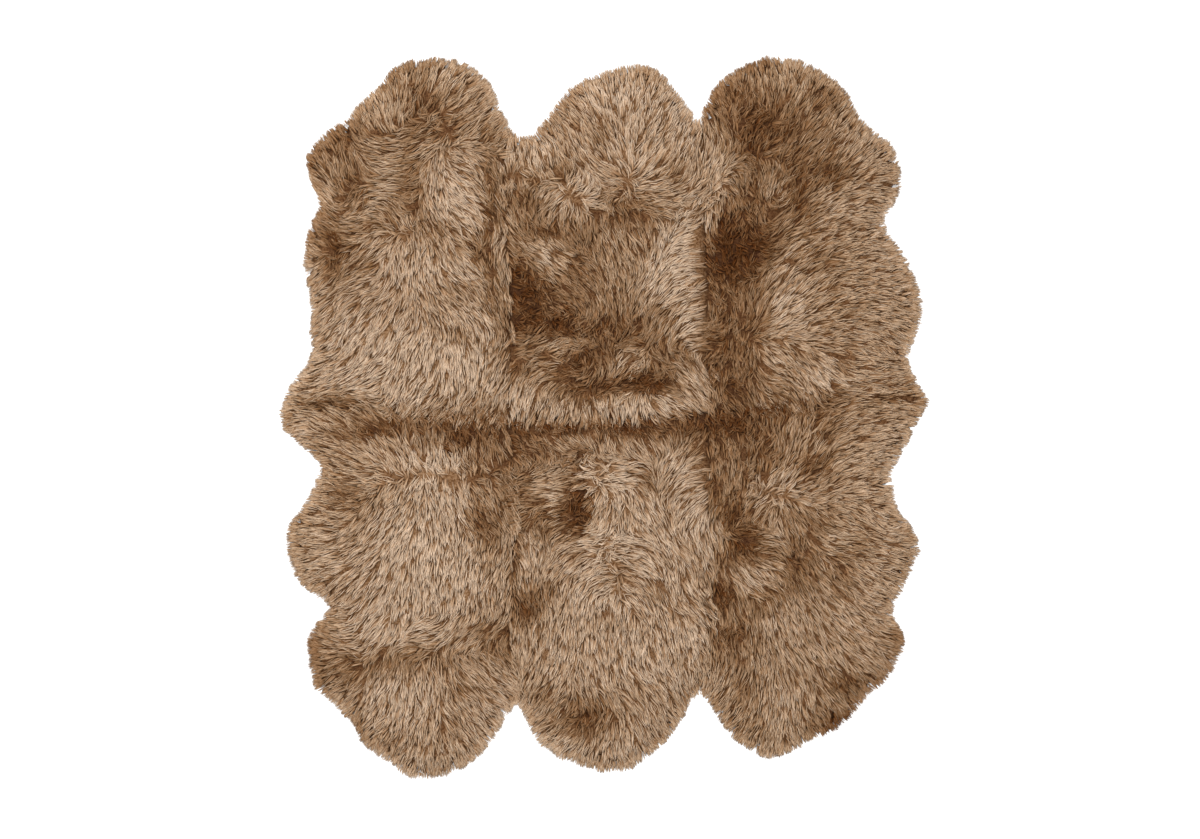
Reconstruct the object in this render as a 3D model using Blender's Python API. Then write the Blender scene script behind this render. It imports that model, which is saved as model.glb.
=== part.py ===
"""A sheepskin rug of six pelts, lying flat with its wool side up.

The pelts are trimmed where they meet and sewn edge to edge, three across and
two down. Each one is a single solid: the flat hide that lies on the floor and
the wool grown on it, as a lumpy slab with locks of wool at its free edge.
Metres, +Z up, +Y towards the top of the rug, origin at the middle of the
underside.
"""

import math
import random
from collections import namedtuple

import bmesh
import bpy
from mathutils import Vector, geometry, noise

RUG_WIDTH = 1.787
RUG_LENGTH = 2.000

PILE_HEIGHT = 0.046
PILE_AT_SEAM = 0.027
SEAM_VALLEY = 0.030
EDGE_ROLL = 0.070

SWELL = 0.008
SWELL_SIZE = 0.150
TUFT_SPACING = 0.0385
TUFT_RISE = 0.0110
TUFT_LEAST = 0.6
TUFT_DIP = -0.0050
TUFT_WANDER = 0.0075

LOCK_PITCH = 0.0285
LOCK_REACH = 0.0045
LOCK_BAY = 0.0095
LOCK_UNEVEN = 0.0030
LOCK_TIP_THICK = 0.0016
LOCK_BAY_THICK = 0.0040
LOCK_RIDGE_IN = 0.018
LOCK_GROOVE_IN = 0.024
LOCK_RIDGE_RISE = 0.0045

SEAM_GAP = 0.0003
SEAM_STEP = 0.036
SEAM_CLEAR = 0.014
EDGE_CLEAR = 0.036
NOTCH_CLEAR = 0.012
CURVE_STEPS = 6
MERGE = 1e-6

WOOL_COLOUR = (0.33, 0.22, 0.14, 1.0)
WOOL_ROUGHNESS = 0.9

Place = namedtuple("Place", "x y")
Relief = namedtuple("Relief", "x y along across turn rise")
Pelt = namedtuple("Pelt", "name free_edge inner_edges")
Edge = namedtuple("Edge", "seam backwards side_x side_y")

# Where seams end at the free edge, and where they cross.
NOTCH_TOP_LEFT = Place(-0.266, 0.787)
NOTCH_TOP_RIGHT = Place(0.274, 0.820)
NOTCH_BOTTOM_LEFT = Place(-0.252, -0.776)
NOTCH_BOTTOM_RIGHT = Place(0.274, -0.757)
TIP_LEFT = Place(-0.894, 0.018)
TIP_RIGHT = Place(0.894, 0.046)
CROSSING_LEFT = Place(-0.266, -0.001)
CROSSING_RIGHT = Place(0.285, 0.015)

# Each seam runs down the rug or from left to right.
SEAM_UPPER_LEFT = (
    NOTCH_TOP_LEFT,
    Place(-0.282, 0.712),
    Place(-0.282, 0.588),
    Place(-0.271, 0.436),
    Place(-0.266, 0.242),
    CROSSING_LEFT,
)
SEAM_LOWER_LEFT = (
    CROSSING_LEFT,
    Place(-0.254, -0.256),
    Place(-0.257, -0.422),
    Place(-0.263, -0.616),
    NOTCH_BOTTOM_LEFT,
)
SEAM_UPPER_RIGHT = (
    NOTCH_TOP_RIGHT,
    Place(0.271, 0.685),
    Place(0.279, 0.519),
    Place(0.285, 0.297),
    CROSSING_RIGHT,
)
SEAM_LOWER_RIGHT = (
    CROSSING_RIGHT,
    Place(0.293, -0.173),
    Place(0.302, -0.394),
    Place(0.288, -0.616),
    NOTCH_BOTTOM_RIGHT,
)
SEAM_LEFT = (
    TIP_LEFT,
    Place(-0.716, 0.026),
    Place(-0.509, 0.010),
    CROSSING_LEFT,
)
SEAM_MIDDLE = (
    CROSSING_LEFT,
    Place(0.017, -0.001),
    CROSSING_RIGHT,
)
SEAM_RIGHT = (
    CROSSING_RIGHT,
    Place(0.515, 0.024),
    Place(0.708, 0.037),
    TIP_RIGHT,
)
SEAMS = (
    SEAM_UPPER_LEFT,
    SEAM_LOWER_LEFT,
    SEAM_UPPER_RIGHT,
    SEAM_LOWER_RIGHT,
    SEAM_LEFT,
    SEAM_MIDDLE,
    SEAM_RIGHT,
)

# The free edges run anticlockwise, with a place at each turn of the pelt's
# neck, legs, flanks and rump.
EDGE_TOP_LEFT = (
    NOTCH_TOP_LEFT,
    Place(-0.288, 0.831),
    Place(-0.335, 0.936),
    Place(-0.376, 0.972),
    Place(-0.434, 0.996),
    Place(-0.487, 0.998),
    Place(-0.550, 0.988),
    Place(-0.598, 0.963),
    Place(-0.625, 0.922),
    Place(-0.692, 0.862),
    Place(-0.711, 0.826),
    Place(-0.761, 0.801),
    Place(-0.808, 0.759),
    Place(-0.830, 0.718),
    Place(-0.819, 0.665),
    Place(-0.791, 0.610),
    Place(-0.811, 0.546),
    Place(-0.827, 0.497),
    Place(-0.833, 0.419),
    Place(-0.813, 0.317),
    Place(-0.822, 0.256),
    Place(-0.811, 0.203),
    Place(-0.827, 0.151),
    Place(-0.863, 0.104),
    Place(-0.888, 0.054),
    TIP_LEFT,
)
EDGE_TOP_MIDDLE = (
    NOTCH_TOP_RIGHT,
    Place(0.249, 0.819),
    Place(0.232, 0.853),
    Place(0.210, 0.887),
    Place(0.183, 0.920),
    Place(0.160, 0.950),
    Place(0.127, 0.972),
    Place(0.072, 0.978),
    Place(0.017, 0.964),
    Place(-0.033, 0.947),
    Place(-0.089, 0.914),
    Place(-0.136, 0.859),
    Place(-0.183, 0.798),
    Place(-0.224, 0.773),
    NOTCH_TOP_LEFT,
)
EDGE_TOP_RIGHT = (
    TIP_RIGHT,
    Place(0.874, 0.082),
    Place(0.844, 0.137),
    Place(0.838, 0.181),
    Place(0.858, 0.239),
    Place(0.877, 0.308),
    Place(0.866, 0.367),
    Place(0.835, 0.441),
    Place(0.794, 0.499),
    Place(0.767, 0.555),
    Place(0.788, 0.585),
    Place(0.811, 0.621),
    Place(0.819, 0.676),
    Place(0.802, 0.740),
    Place(0.764, 0.779),
    Place(0.719, 0.817),
    Place(0.694, 0.862),
    Place(0.669, 0.911),
    Place(0.622, 0.945),
    Place(0.564, 0.982),
    Place(0.520, 0.997),
    Place(0.454, 0.998),
    Place(0.398, 0.982),
    Place(0.343, 0.947),
    Place(0.304, 0.909),
    Place(0.285, 0.862),
    NOTCH_TOP_RIGHT,
)
EDGE_BOTTOM_LEFT = (
    TIP_LEFT,
    Place(-0.888, -0.026),
    Place(-0.863, -0.059),
    Place(-0.813, -0.098),
    Place(-0.783, -0.134),
    Place(-0.805, -0.192),
    Place(-0.835, -0.248),
    Place(-0.871, -0.295),
    Place(-0.880, -0.353),
    Place(-0.866, -0.422),
    Place(-0.838, -0.466),
    Place(-0.791, -0.491),
    Place(-0.761, -0.535),
    Place(-0.794, -0.577),
    Place(-0.822, -0.621),
    Place(-0.813, -0.693),
    Place(-0.797, -0.751),
    Place(-0.741, -0.798),
    Place(-0.700, -0.853),
    Place(-0.664, -0.911),
    Place(-0.611, -0.939),
    Place(-0.570, -0.979),
    Place(-0.498, -0.997),
    Place(-0.429, -0.981),
    Place(-0.379, -0.953),
    Place(-0.337, -0.911),
    Place(-0.288, -0.840),
    Place(-0.266, -0.801),
    NOTCH_BOTTOM_LEFT,
)
EDGE_BOTTOM_MIDDLE = (
    NOTCH_BOTTOM_LEFT,
    Place(-0.227, -0.804),
    Place(-0.199, -0.862),
    Place(-0.169, -0.906),
    Place(-0.127, -0.936),
    Place(-0.061, -0.961),
    Place(0.017, -0.980),
    Place(0.089, -0.961),
    Place(0.130, -0.931),
    Place(0.180, -0.884),
    Place(0.216, -0.826),
    Place(0.243, -0.768),
    NOTCH_BOTTOM_RIGHT,
)
EDGE_BOTTOM_RIGHT = (
    NOTCH_BOTTOM_RIGHT,
    Place(0.293, -0.776),
    Place(0.315, -0.823),
    Place(0.354, -0.873),
    Place(0.404, -0.914),
    Place(0.451, -0.939),
    Place(0.506, -0.928),
    Place(0.570, -0.892),
    Place(0.642, -0.859),
    Place(0.686, -0.823),
    Place(0.703, -0.793),
    Place(0.741, -0.757),
    Place(0.777, -0.726),
    Place(0.813, -0.668),
    Place(0.833, -0.616),
    Place(0.816, -0.580),
    Place(0.792, -0.549),
    Place(0.805, -0.505),
    Place(0.833, -0.450),
    Place(0.855, -0.403),
    Place(0.866, -0.347),
    Place(0.849, -0.300),
    Place(0.816, -0.267),
    Place(0.797, -0.214),
    Place(0.786, -0.165),
    Place(0.802, -0.126),
    Place(0.830, -0.084),
    Place(0.849, -0.040),
    Place(0.882, 0.018),
    TIP_RIGHT,
)

# A pelt's inner edges carry on anticlockwise from the end of its free edge.
# side_x and side_y say on which side of the seam the pelt lies.
PELTS = (
    Pelt(
        "pelt_top_left",
        EDGE_TOP_LEFT,
        (Edge(SEAM_LEFT, False, 0, 1), Edge(SEAM_UPPER_LEFT, True, -1, 0)),
    ),
    Pelt(
        "pelt_top_middle",
        EDGE_TOP_MIDDLE,
        (
            Edge(SEAM_UPPER_LEFT, False, 1, 0),
            Edge(SEAM_MIDDLE, False, 0, 1),
            Edge(SEAM_UPPER_RIGHT, True, -1, 0),
        ),
    ),
    Pelt(
        "pelt_top_right",
        EDGE_TOP_RIGHT,
        (Edge(SEAM_UPPER_RIGHT, False, 1, 0), Edge(SEAM_RIGHT, False, 0, 1)),
    ),
    Pelt(
        "pelt_bottom_left",
        EDGE_BOTTOM_LEFT,
        (Edge(SEAM_LOWER_LEFT, True, -1, 0), Edge(SEAM_LEFT, True, 0, -1)),
    ),
    Pelt(
        "pelt_bottom_middle",
        EDGE_BOTTOM_MIDDLE,
        (
            Edge(SEAM_LOWER_RIGHT, True, -1, 0),
            Edge(SEAM_MIDDLE, True, 0, -1),
            Edge(SEAM_LOWER_LEFT, False, 1, 0),
        ),
    ),
    Pelt(
        "pelt_bottom_right",
        EDGE_BOTTOM_RIGHT,
        (Edge(SEAM_RIGHT, True, 0, -1), Edge(SEAM_LOWER_RIGHT, False, 1, 0)),
    ),
)

# Partings and swells in the wool: middle, half length, half width, the turn of
# the length from +X in degrees, and how far the wool rises or sinks.
RELIEFS = (
    Relief(-0.710, 0.550, 0.190, 0.040, 80, -0.010),
    Relief(-0.495, 0.865, 0.060, 0.045, 0, -0.008),
    Relief(-0.430, 0.430, 0.090, 0.050, 20, 0.007),
    Relief(-0.620, 0.190, 0.120, 0.070, 20, 0.005),
    Relief(-0.100, 0.560, 0.110, 0.040, 5, -0.006),
    Relief(0.010, 0.110, 0.140, 0.050, 0, -0.009),
    Relief(0.060, 0.032, 0.200, 0.020, 0, 0.010),
    Relief(0.360, 0.500, 0.200, 0.045, 85, -0.010),
    Relief(0.430, 0.790, 0.090, 0.070, 0, -0.007),
    Relief(0.600, 0.400, 0.150, 0.080, 30, 0.005),
    Relief(-0.530, -0.665, 0.180, 0.025, 0, -0.011),
    Relief(-0.690, -0.240, 0.080, 0.035, 10, -0.008),
    Relief(-0.450, -0.420, 0.090, 0.160, 0, 0.005),
    Relief(-0.080, -0.240, 0.060, 0.050, 0, -0.009),
    Relief(-0.205, -0.480, 0.090, 0.030, 90, -0.008),
    Relief(0.110, -0.400, 0.110, 0.100, 0, 0.006),
    Relief(-0.060, -0.820, 0.070, 0.045, 0, -0.009),
    Relief(0.350, -0.290, 0.120, 0.040, 90, -0.009),
    Relief(0.360, -0.600, 0.060, 0.045, 90, -0.008),
    Relief(0.540, -0.370, 0.060, 0.050, 0, -0.006),
    Relief(0.670, -0.740, 0.070, 0.040, 0, -0.008),
)


def clear_scene():
    """Empty the scene of objects."""
    for obj in list(bpy.data.objects):
        bpy.data.objects.remove(obj)


def smooth_line(places):
    """Points along a smooth curve through the places."""
    knots = [Vector((place.x, place.y)) for place in places]
    headings = []
    for index in range(len(knots)):
        before = knots[max(index - 1, 0)]
        after = knots[min(index + 1, len(knots) - 1)]
        headings.append((after - before).normalized())
    line = [knots[0]]
    for index in range(len(knots) - 1):
        start, end = knots[index], knots[index + 1]
        pull = (end - start).length / 3.0
        bend = geometry.interpolate_bezier(
            start,
            start + headings[index] * pull,
            end - headings[index + 1] * pull,
            end,
            CURVE_STEPS,
        )
        line += bend[1:]
    return line


def even_stations(line, count):
    """Points and left-hand headings at equal distances along a line, ends included."""
    lengths = [0.0]
    for start, end in zip(line, line[1:]):
        lengths.append(lengths[-1] + (end - start).length)
    stations = []
    segment = 0
    for index in range(count + 1):
        target = lengths[-1] * index / count
        while segment < len(line) - 2 and lengths[segment + 1] < target:
            segment += 1
        start, end = line[segment], line[segment + 1]
        share = (target - lengths[segment]) / (end - start).length
        stations.append((start.lerp(end, share), (end - start).normalized()))
    return stations


def line_length(line):
    """How long a line of points is."""
    return sum((end - start).length for start, end in zip(line, line[1:]))


def distance_to_line(point, line):
    """How far a point is from the nearest stretch of a line."""
    nearest = math.inf
    for start, end in zip(line, line[1:]):
        run = end - start
        share = (point - start).dot(run) / run.length_squared
        foot = start + run * min(max(share, 0.0), 1.0)
        nearest = min(nearest, (point - foot).length)
    return nearest


def inside(point, loop):
    """Whether a point lies inside a closed loop of points."""
    within = False
    for start, end in zip(loop, loop[1:] + loop[:1]):
        if (start.y > point.y) == (end.y > point.y):
            continue
        share = (point.y - start.y) / (end.y - start.y)
        if point.x < start.x + share * (end.x - start.x):
            within = not within
    return within


def relief_height(point):
    """How far the partings and swells raise the wool at a point."""
    height = 0.0
    for relief in RELIEFS:
        turn = math.radians(relief.turn)
        away = point - Vector((relief.x, relief.y))
        along = (away.x * math.cos(turn) + away.y * math.sin(turn)) / relief.along
        across = (away.y * math.cos(turn) - away.x * math.sin(turn)) / relief.across
        height += relief.rise * math.exp(-(along * along) - across * across)
    swell = noise.noise(Vector((point.x, point.y, 0.0)) / SWELL_SIZE)
    return height + SWELL * swell


def pile_height(point, free_line, seam_lines):
    """Height of the wool: full inside, lower at a seam, rolled off at a free edge."""
    from_edge = distance_to_line(point, free_line)
    from_seam = min(distance_to_line(point, line) for line in seam_lines)
    valley = math.exp(-((from_seam / SEAM_VALLEY) ** 2))
    full = PILE_HEIGHT + relief_height(point)
    height = full + (PILE_AT_SEAM - full) * valley
    roll = math.sin(0.5 * math.pi * min(from_edge / EDGE_ROLL, 1.0))
    return max(LOCK_BAY_THICK, height * roll)


def seam_points(edge, seam_lines):
    """A pelt's own side of a seam, half the gap away from the seam's line."""
    line = seam_lines[SEAMS.index(edge.seam)]
    count = round(line_length(line) / SEAM_STEP)
    half_gap = Vector((edge.side_x, edge.side_y)) * (0.5 * SEAM_GAP)
    points = [point + half_gap for point, heading in even_stations(line, count)]
    return points[::-1] if edge.backwards else points


def corner_between(first, second):
    """The corner where a pelt's sides of two seams meet."""
    across = first if first.side_x else second
    down = second if first.side_x else first
    places = {across.seam[0], across.seam[-1]} & {down.seam[0], down.seam[-1]}
    place = places.pop()
    return Vector((place.x, place.y)) + 0.5 * SEAM_GAP * Vector((across.side_x, down.side_y))


def rim_points(line, draw):
    """Lock tips, the bays between them and the ridges behind them, along a free edge."""
    pairs = round(line_length(line) / LOCK_PITCH)
    rim, behind = [], []
    for index, (point, heading) in enumerate(even_stations(line, 2 * pairs)):
        outwards = Vector((heading.y, -heading.x))
        uneven = draw.uniform(-LOCK_UNEVEN, LOCK_UNEVEN)
        slip = heading * draw.uniform(-LOCK_UNEVEN, LOCK_UNEVEN)
        if index in (0, 2 * pairs):
            rim.append((point, LOCK_BAY_THICK))
        elif index % 2:
            rim.append((point + outwards * (LOCK_REACH + uneven) + slip, LOCK_TIP_THICK))
            behind.append((point - outwards * LOCK_RIDGE_IN, LOCK_RIDGE_RISE))
        else:
            rim.append((point - outwards * (LOCK_BAY + uneven) + slip, LOCK_BAY_THICK))
            behind.append((point - outwards * LOCK_GROOVE_IN, -LOCK_RIDGE_RISE))
    return rim, behind


def tuft_points(loop, free_line, own_seams, draw):
    """Points over the wool on a staggered grid, every third one the top of a tuft."""
    row_step = TUFT_SPACING * math.sqrt(0.75)
    low_x = min(point.x for point in loop)
    low_y = min(point.y for point in loop)
    columns = math.ceil((max(point.x for point in loop) - low_x) / TUFT_SPACING)
    rows = math.ceil((max(point.y for point in loop) - low_y) / row_step)
    tufts = []
    for row in range(rows + 1):
        for column in range(-1, columns + 1):
            wander = Vector((draw.uniform(-1, 1), draw.uniform(-1, 1))) * TUFT_WANDER
            across = (column + 0.5 * (row % 2)) * TUFT_SPACING
            point = Vector((low_x + across, low_y + row * row_step)) + wander
            if not inside(point, loop):
                continue
            if distance_to_line(point, free_line) < EDGE_CLEAR:
                continue
            if min(distance_to_line(point, line) for line in own_seams) < SEAM_CLEAR:
                continue
            top = (column - row // 2 + 2 * row) % 3 == 0
            rise = TUFT_RISE * draw.uniform(TUFT_LEAST, 1.0) if top else TUFT_DIP
            tufts.append((point, rise))
    return tufts


def pelt_outline(pelt, seam_lines, draw):
    """The pelt's closed outline with its heights, and the points behind its locks."""
    free_line = smooth_line(pelt.free_edge)
    first, last = pelt.inner_edges[0], pelt.inner_edges[-1]
    free_line[-1] = seam_points(first, seam_lines)[0]
    free_line[0] = seam_points(last, seam_lines)[-1]
    rim, behind = rim_points(free_line, draw)
    outline = rim[:-1]
    for index, edge in enumerate(pelt.inner_edges):
        points = seam_points(edge, seam_lines)
        if index > 0:
            points[0] = corner_between(pelt.inner_edges[index - 1], edge)
        for point in points[:-1]:
            outline.append((point, None))
    return free_line, outline, behind


def pelt_mesh(pelt, seam_lines, draw):
    """The closed mesh of one pelt."""
    free_line, outline, behind = pelt_outline(pelt, seam_lines, draw)
    loop = [point for point, height in outline]
    own_seams = [seam_lines[SEAMS.index(edge.seam)] for edge in pelt.inner_edges]
    spots = list(outline)
    for point, rise in behind:
        clear = min(distance_to_line(point, line) for line in own_seams) > NOTCH_CLEAR
        if inside(point, loop) and clear:
            spots.append((point, pile_height(point, free_line, own_seams) + rise))
    for point, rise in tuft_points(loop, free_line, own_seams, draw):
        spots.append((point, pile_height(point, free_line, own_seams) + rise))

    flat = [point for point, height in spots]
    around = list(range(len(outline)))
    corners, _, faces, sources, _, _ = geometry.delaunay_2d_cdt(flat, [], [around], 1, MERGE)
    mesh = bmesh.new()
    verts = []
    for corner, source in zip(corners, sources):
        height = spots[source[0]][1]
        if height is None:
            height = pile_height(corner, free_line, own_seams)
        verts.append(mesh.verts.new((corner.x, corner.y, height)))
    for face in faces:
        mesh.faces.new([verts[index] for index in face])
    rim_edges = [edge for edge in mesh.edges if edge.is_boundary]
    wall = bmesh.ops.extrude_edge_only(mesh, edges=rim_edges)["geom"]
    for item in wall:
        if isinstance(item, bmesh.types.BMVert):
            item.co.z = 0.0
    foot = [item for item in wall if isinstance(item, bmesh.types.BMEdge) and item.is_boundary]
    underside = bmesh.ops.edgeloop_fill(mesh, edges=foot)["faces"]
    bmesh.ops.triangulate(mesh, faces=underside)
    bmesh.ops.recalc_face_normals(mesh, faces=mesh.faces)
    data = bpy.data.meshes.new(pelt.name)
    mesh.to_mesh(data)
    mesh.free()
    return data


def wool_material():
    """The brown wool."""
    material = bpy.data.materials.new("wool")
    material.use_nodes = True
    shader = material.node_tree.nodes["Principled BSDF"]
    shader.inputs["Base Color"].default_value = WOOL_COLOUR
    shader.inputs["Roughness"].default_value = WOOL_ROUGHNESS
    return material


def middle_of_box(meshes):
    """The middle of the meshes' common box, across and along the rug."""
    xs = [vertex.co.x for data in meshes for vertex in data.vertices]
    ys = [vertex.co.y for data in meshes for vertex in data.vertices]
    return Vector((0.5 * (min(xs) + max(xs)), 0.5 * (min(ys) + max(ys)), 0.0)), Vector(
        (RUG_WIDTH / (max(xs) - min(xs)), RUG_LENGTH / (max(ys) - min(ys)), 1.0)
    )


def build_rug():
    """Make the six pelts and centre them on the origin."""
    clear_scene()
    collection = bpy.data.collections.new("sheepskin_rug")
    bpy.context.scene.collection.children.link(collection)
    seam_lines = [smooth_line(seam) for seam in SEAMS]
    wool = wool_material()
    meshes = []
    for number, pelt in enumerate(PELTS):
        data = pelt_mesh(pelt, seam_lines, random.Random(number + 1))
        data.materials.append(wool)
        meshes.append(data)
        collection.objects.link(bpy.data.objects.new(pelt.name, data))
    middle, scale = middle_of_box(meshes)
    for data in meshes:
        for vertex in data.vertices:
            vertex.co = (vertex.co - middle) * scale
        data.update()


build_rug()
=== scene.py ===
"""A sheepskin rug of six pelts, dressed in its wool, with the stitched hides under it.

Each pelt's wool is small locks of a few strands over a matted undercoat. A lock
starts in the undercoat, lies the way the wool was brushed and follows the
pelt's own swells, and at the free edge it falls over the rim to the floor.
Metres, +Z up, +Y towards the top of the rug.
"""

from __future__ import annotations

import logging
import math
from dataclasses import dataclass
from enum import Enum
from typing import NamedTuple

import bmesh
import bpy
import numpy as np
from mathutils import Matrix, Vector, noise
from mathutils.bvhtree import BVHTree


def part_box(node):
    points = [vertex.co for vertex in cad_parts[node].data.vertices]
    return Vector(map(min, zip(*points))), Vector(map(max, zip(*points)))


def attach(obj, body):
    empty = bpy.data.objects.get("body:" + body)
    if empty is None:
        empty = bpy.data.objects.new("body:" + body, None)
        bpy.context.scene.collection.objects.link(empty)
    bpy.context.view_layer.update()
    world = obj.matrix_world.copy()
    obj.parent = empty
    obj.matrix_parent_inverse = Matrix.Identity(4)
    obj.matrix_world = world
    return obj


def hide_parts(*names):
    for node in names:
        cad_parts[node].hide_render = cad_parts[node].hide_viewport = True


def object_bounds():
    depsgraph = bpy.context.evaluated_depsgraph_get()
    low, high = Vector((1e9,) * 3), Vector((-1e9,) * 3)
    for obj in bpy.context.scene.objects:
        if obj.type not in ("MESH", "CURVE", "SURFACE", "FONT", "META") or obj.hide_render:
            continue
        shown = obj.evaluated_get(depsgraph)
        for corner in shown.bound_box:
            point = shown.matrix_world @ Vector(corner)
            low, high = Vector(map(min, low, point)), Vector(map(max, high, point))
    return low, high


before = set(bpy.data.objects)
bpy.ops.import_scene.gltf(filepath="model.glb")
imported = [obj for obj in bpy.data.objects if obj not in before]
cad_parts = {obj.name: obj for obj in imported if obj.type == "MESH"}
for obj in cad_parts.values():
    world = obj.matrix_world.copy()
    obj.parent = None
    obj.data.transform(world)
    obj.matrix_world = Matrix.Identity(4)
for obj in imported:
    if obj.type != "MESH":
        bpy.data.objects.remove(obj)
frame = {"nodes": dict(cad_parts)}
CAD_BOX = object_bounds()

log = logging.getLogger("sheepskin")

BODY = "root"
WOOL_MAP = "OFBake"
TONE_MARK = "tone"

# The picture is 1200 x 839, seen from straight above. Places on the rug are read
# in it, across from its left side and down from its top.
PICTURE_WIDTH = 1200
PICTURE_HEIGHT = 839
RUG_ACROSS = 604.0
RUG_DOWN = 417.5
PICTURE_STEP = 0.0027663

# The wool's board of colours has its top strands on its first runs and its under strands on the rest.
TOP_RUNS = (0, 2)
UNDER_RUNS = (2, 4)

# How fast red, green and blue fall as the grain's painted shade between fibres deepens, so that this
# painted shade stays a warm brown.
WARM_PAINTED_SHADE = (0.86, 1.14, 1.50)

# A way shorter than this has no direction, and corners closer than the weld are one.
NO_LENGTH = 1e-9
WELD = 1e-5

# What is lower than this is part of a pelt's underside.
ON_FLOOR = 1e-4

# A colour ramp's stops: each one's place, and its red, green and blue.
Stops = tuple[tuple[float, tuple[float, float, float]], ...]


class Slot(Enum):
    """Two material slots, wool and hide."""

    WOOL = "wool"
    HIDE = "hide"


class Stroke(NamedTuple):
    """One stroke of the brush: a place in the picture, and the way that the tips point there.

    The heading is in degrees, 0 to the right and 90 towards the top of the rug.
    """

    across: float
    down: float
    heading: float


class Shade(NamedTuple):
    """A patch of lighter or darker wool, soft at its edge: partly the wool's own colour and partly
    painted shade and painted light.

    Wide and tall are its half sizes. Tone is what is added at its middle, in
    hundredths, and turn is in degrees.
    """

    across: float
    down: float
    wide: float
    tall: float
    tone: float
    turn: float = 0.0


def strokes(*rows: tuple[float, ...]) -> tuple[Stroke, ...]:
    """Makes one pelt's strokes from rows of across, down and heading."""
    return tuple(Stroke(*row) for row in rows)


def shades(*rows: tuple[float, ...]) -> tuple[Shade, ...]:
    """Makes patches of shade from rows of across, down, wide, tall, tone and turn."""
    return tuple(Shade(*row) for row in rows)


BRUSHED_TOP_LEFT = strokes(
    (430, 65, 75), (455, 75, 60), (475, 95, 45), (470, 110, 38), (460, 125, 30), (475, 135, 45),
    (488, 125, 50), (490, 148, 42), (410, 75, 100), (395, 80, 110), (380, 95, 108), (365, 115, 110),
    (345, 130, 125), (320, 150, 125), (310, 160, 115), (320, 175, 112), (330, 190, 115), (325, 210, 125),
    (312, 245, 140), (315, 280, 215), (375, 155, 172), (398, 165, 180), (418, 148, 195), (385, 190, 178),
    (408, 188, 178), (462, 170, -25), (468, 190, -25), (465, 212, -30), (455, 228, -45), (365, 215, 170),
    (350, 225, 187), (370, 235, 215), (445, 250, -70), (470, 245, -35), (470, 275, -40), (400, 262, -90),
    (420, 265, -90), (375, 252, 225), (360, 270, 205), (350, 287, 200), (378, 288, 210), (330, 310, 235),
    (330, 332, 230), (360, 320, 235), (390, 330, 247), (400, 350, 250), (370, 370, 217), (330, 370, 205),
    (310, 385, 198), (300, 400, 185), (340, 390, 210), (400, 390, 245), (430, 350, 257), (450, 370, 267),
    (470, 362, 275), (480, 345, 285), (445, 300, -55), (462, 300, -48), (480, 310, -45), (450, 337, 268),
    (495, 372, 252), (420, 402, 228), (490, 190, -70), (490, 225, -60), (491, 260, -82), (496, 290, -75),
    (499, 325, -66), (488, 400, 250), (424, 303, -76), (402, 305, 240), (430, 158, 235), (417, 160, 215),
    (430, 172, 258), (429, 190, 262), (441, 188, -66), (430, 206, -65), (452, 200, -52), (450, 165, -40),
    (476, 156, -32), (488, 158, -72), (489, 172, -76), (432, 134, 205), (392, 100, 84), (407, 95, 72),
    (418, 92, 62), (357, 204, 250), (368, 204, 222), (393, 210, 125), (382, 214, 142), (345, 160, 100),
    (357, 168, 112), (334, 264, 245), (345, 264, 228), (322, 240, 138), (333, 232, 148), (394, 275, 264),
    (406, 276, 268), (417, 288, -66), (441, 312, -56), (465, 348, -70), (489, 350, 242), (500, 350, 242),
    (501, 314, -78), (357, 350, 243), (490, 241, 243), (340, 404, 160), (360, 404, 165),
)
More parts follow.
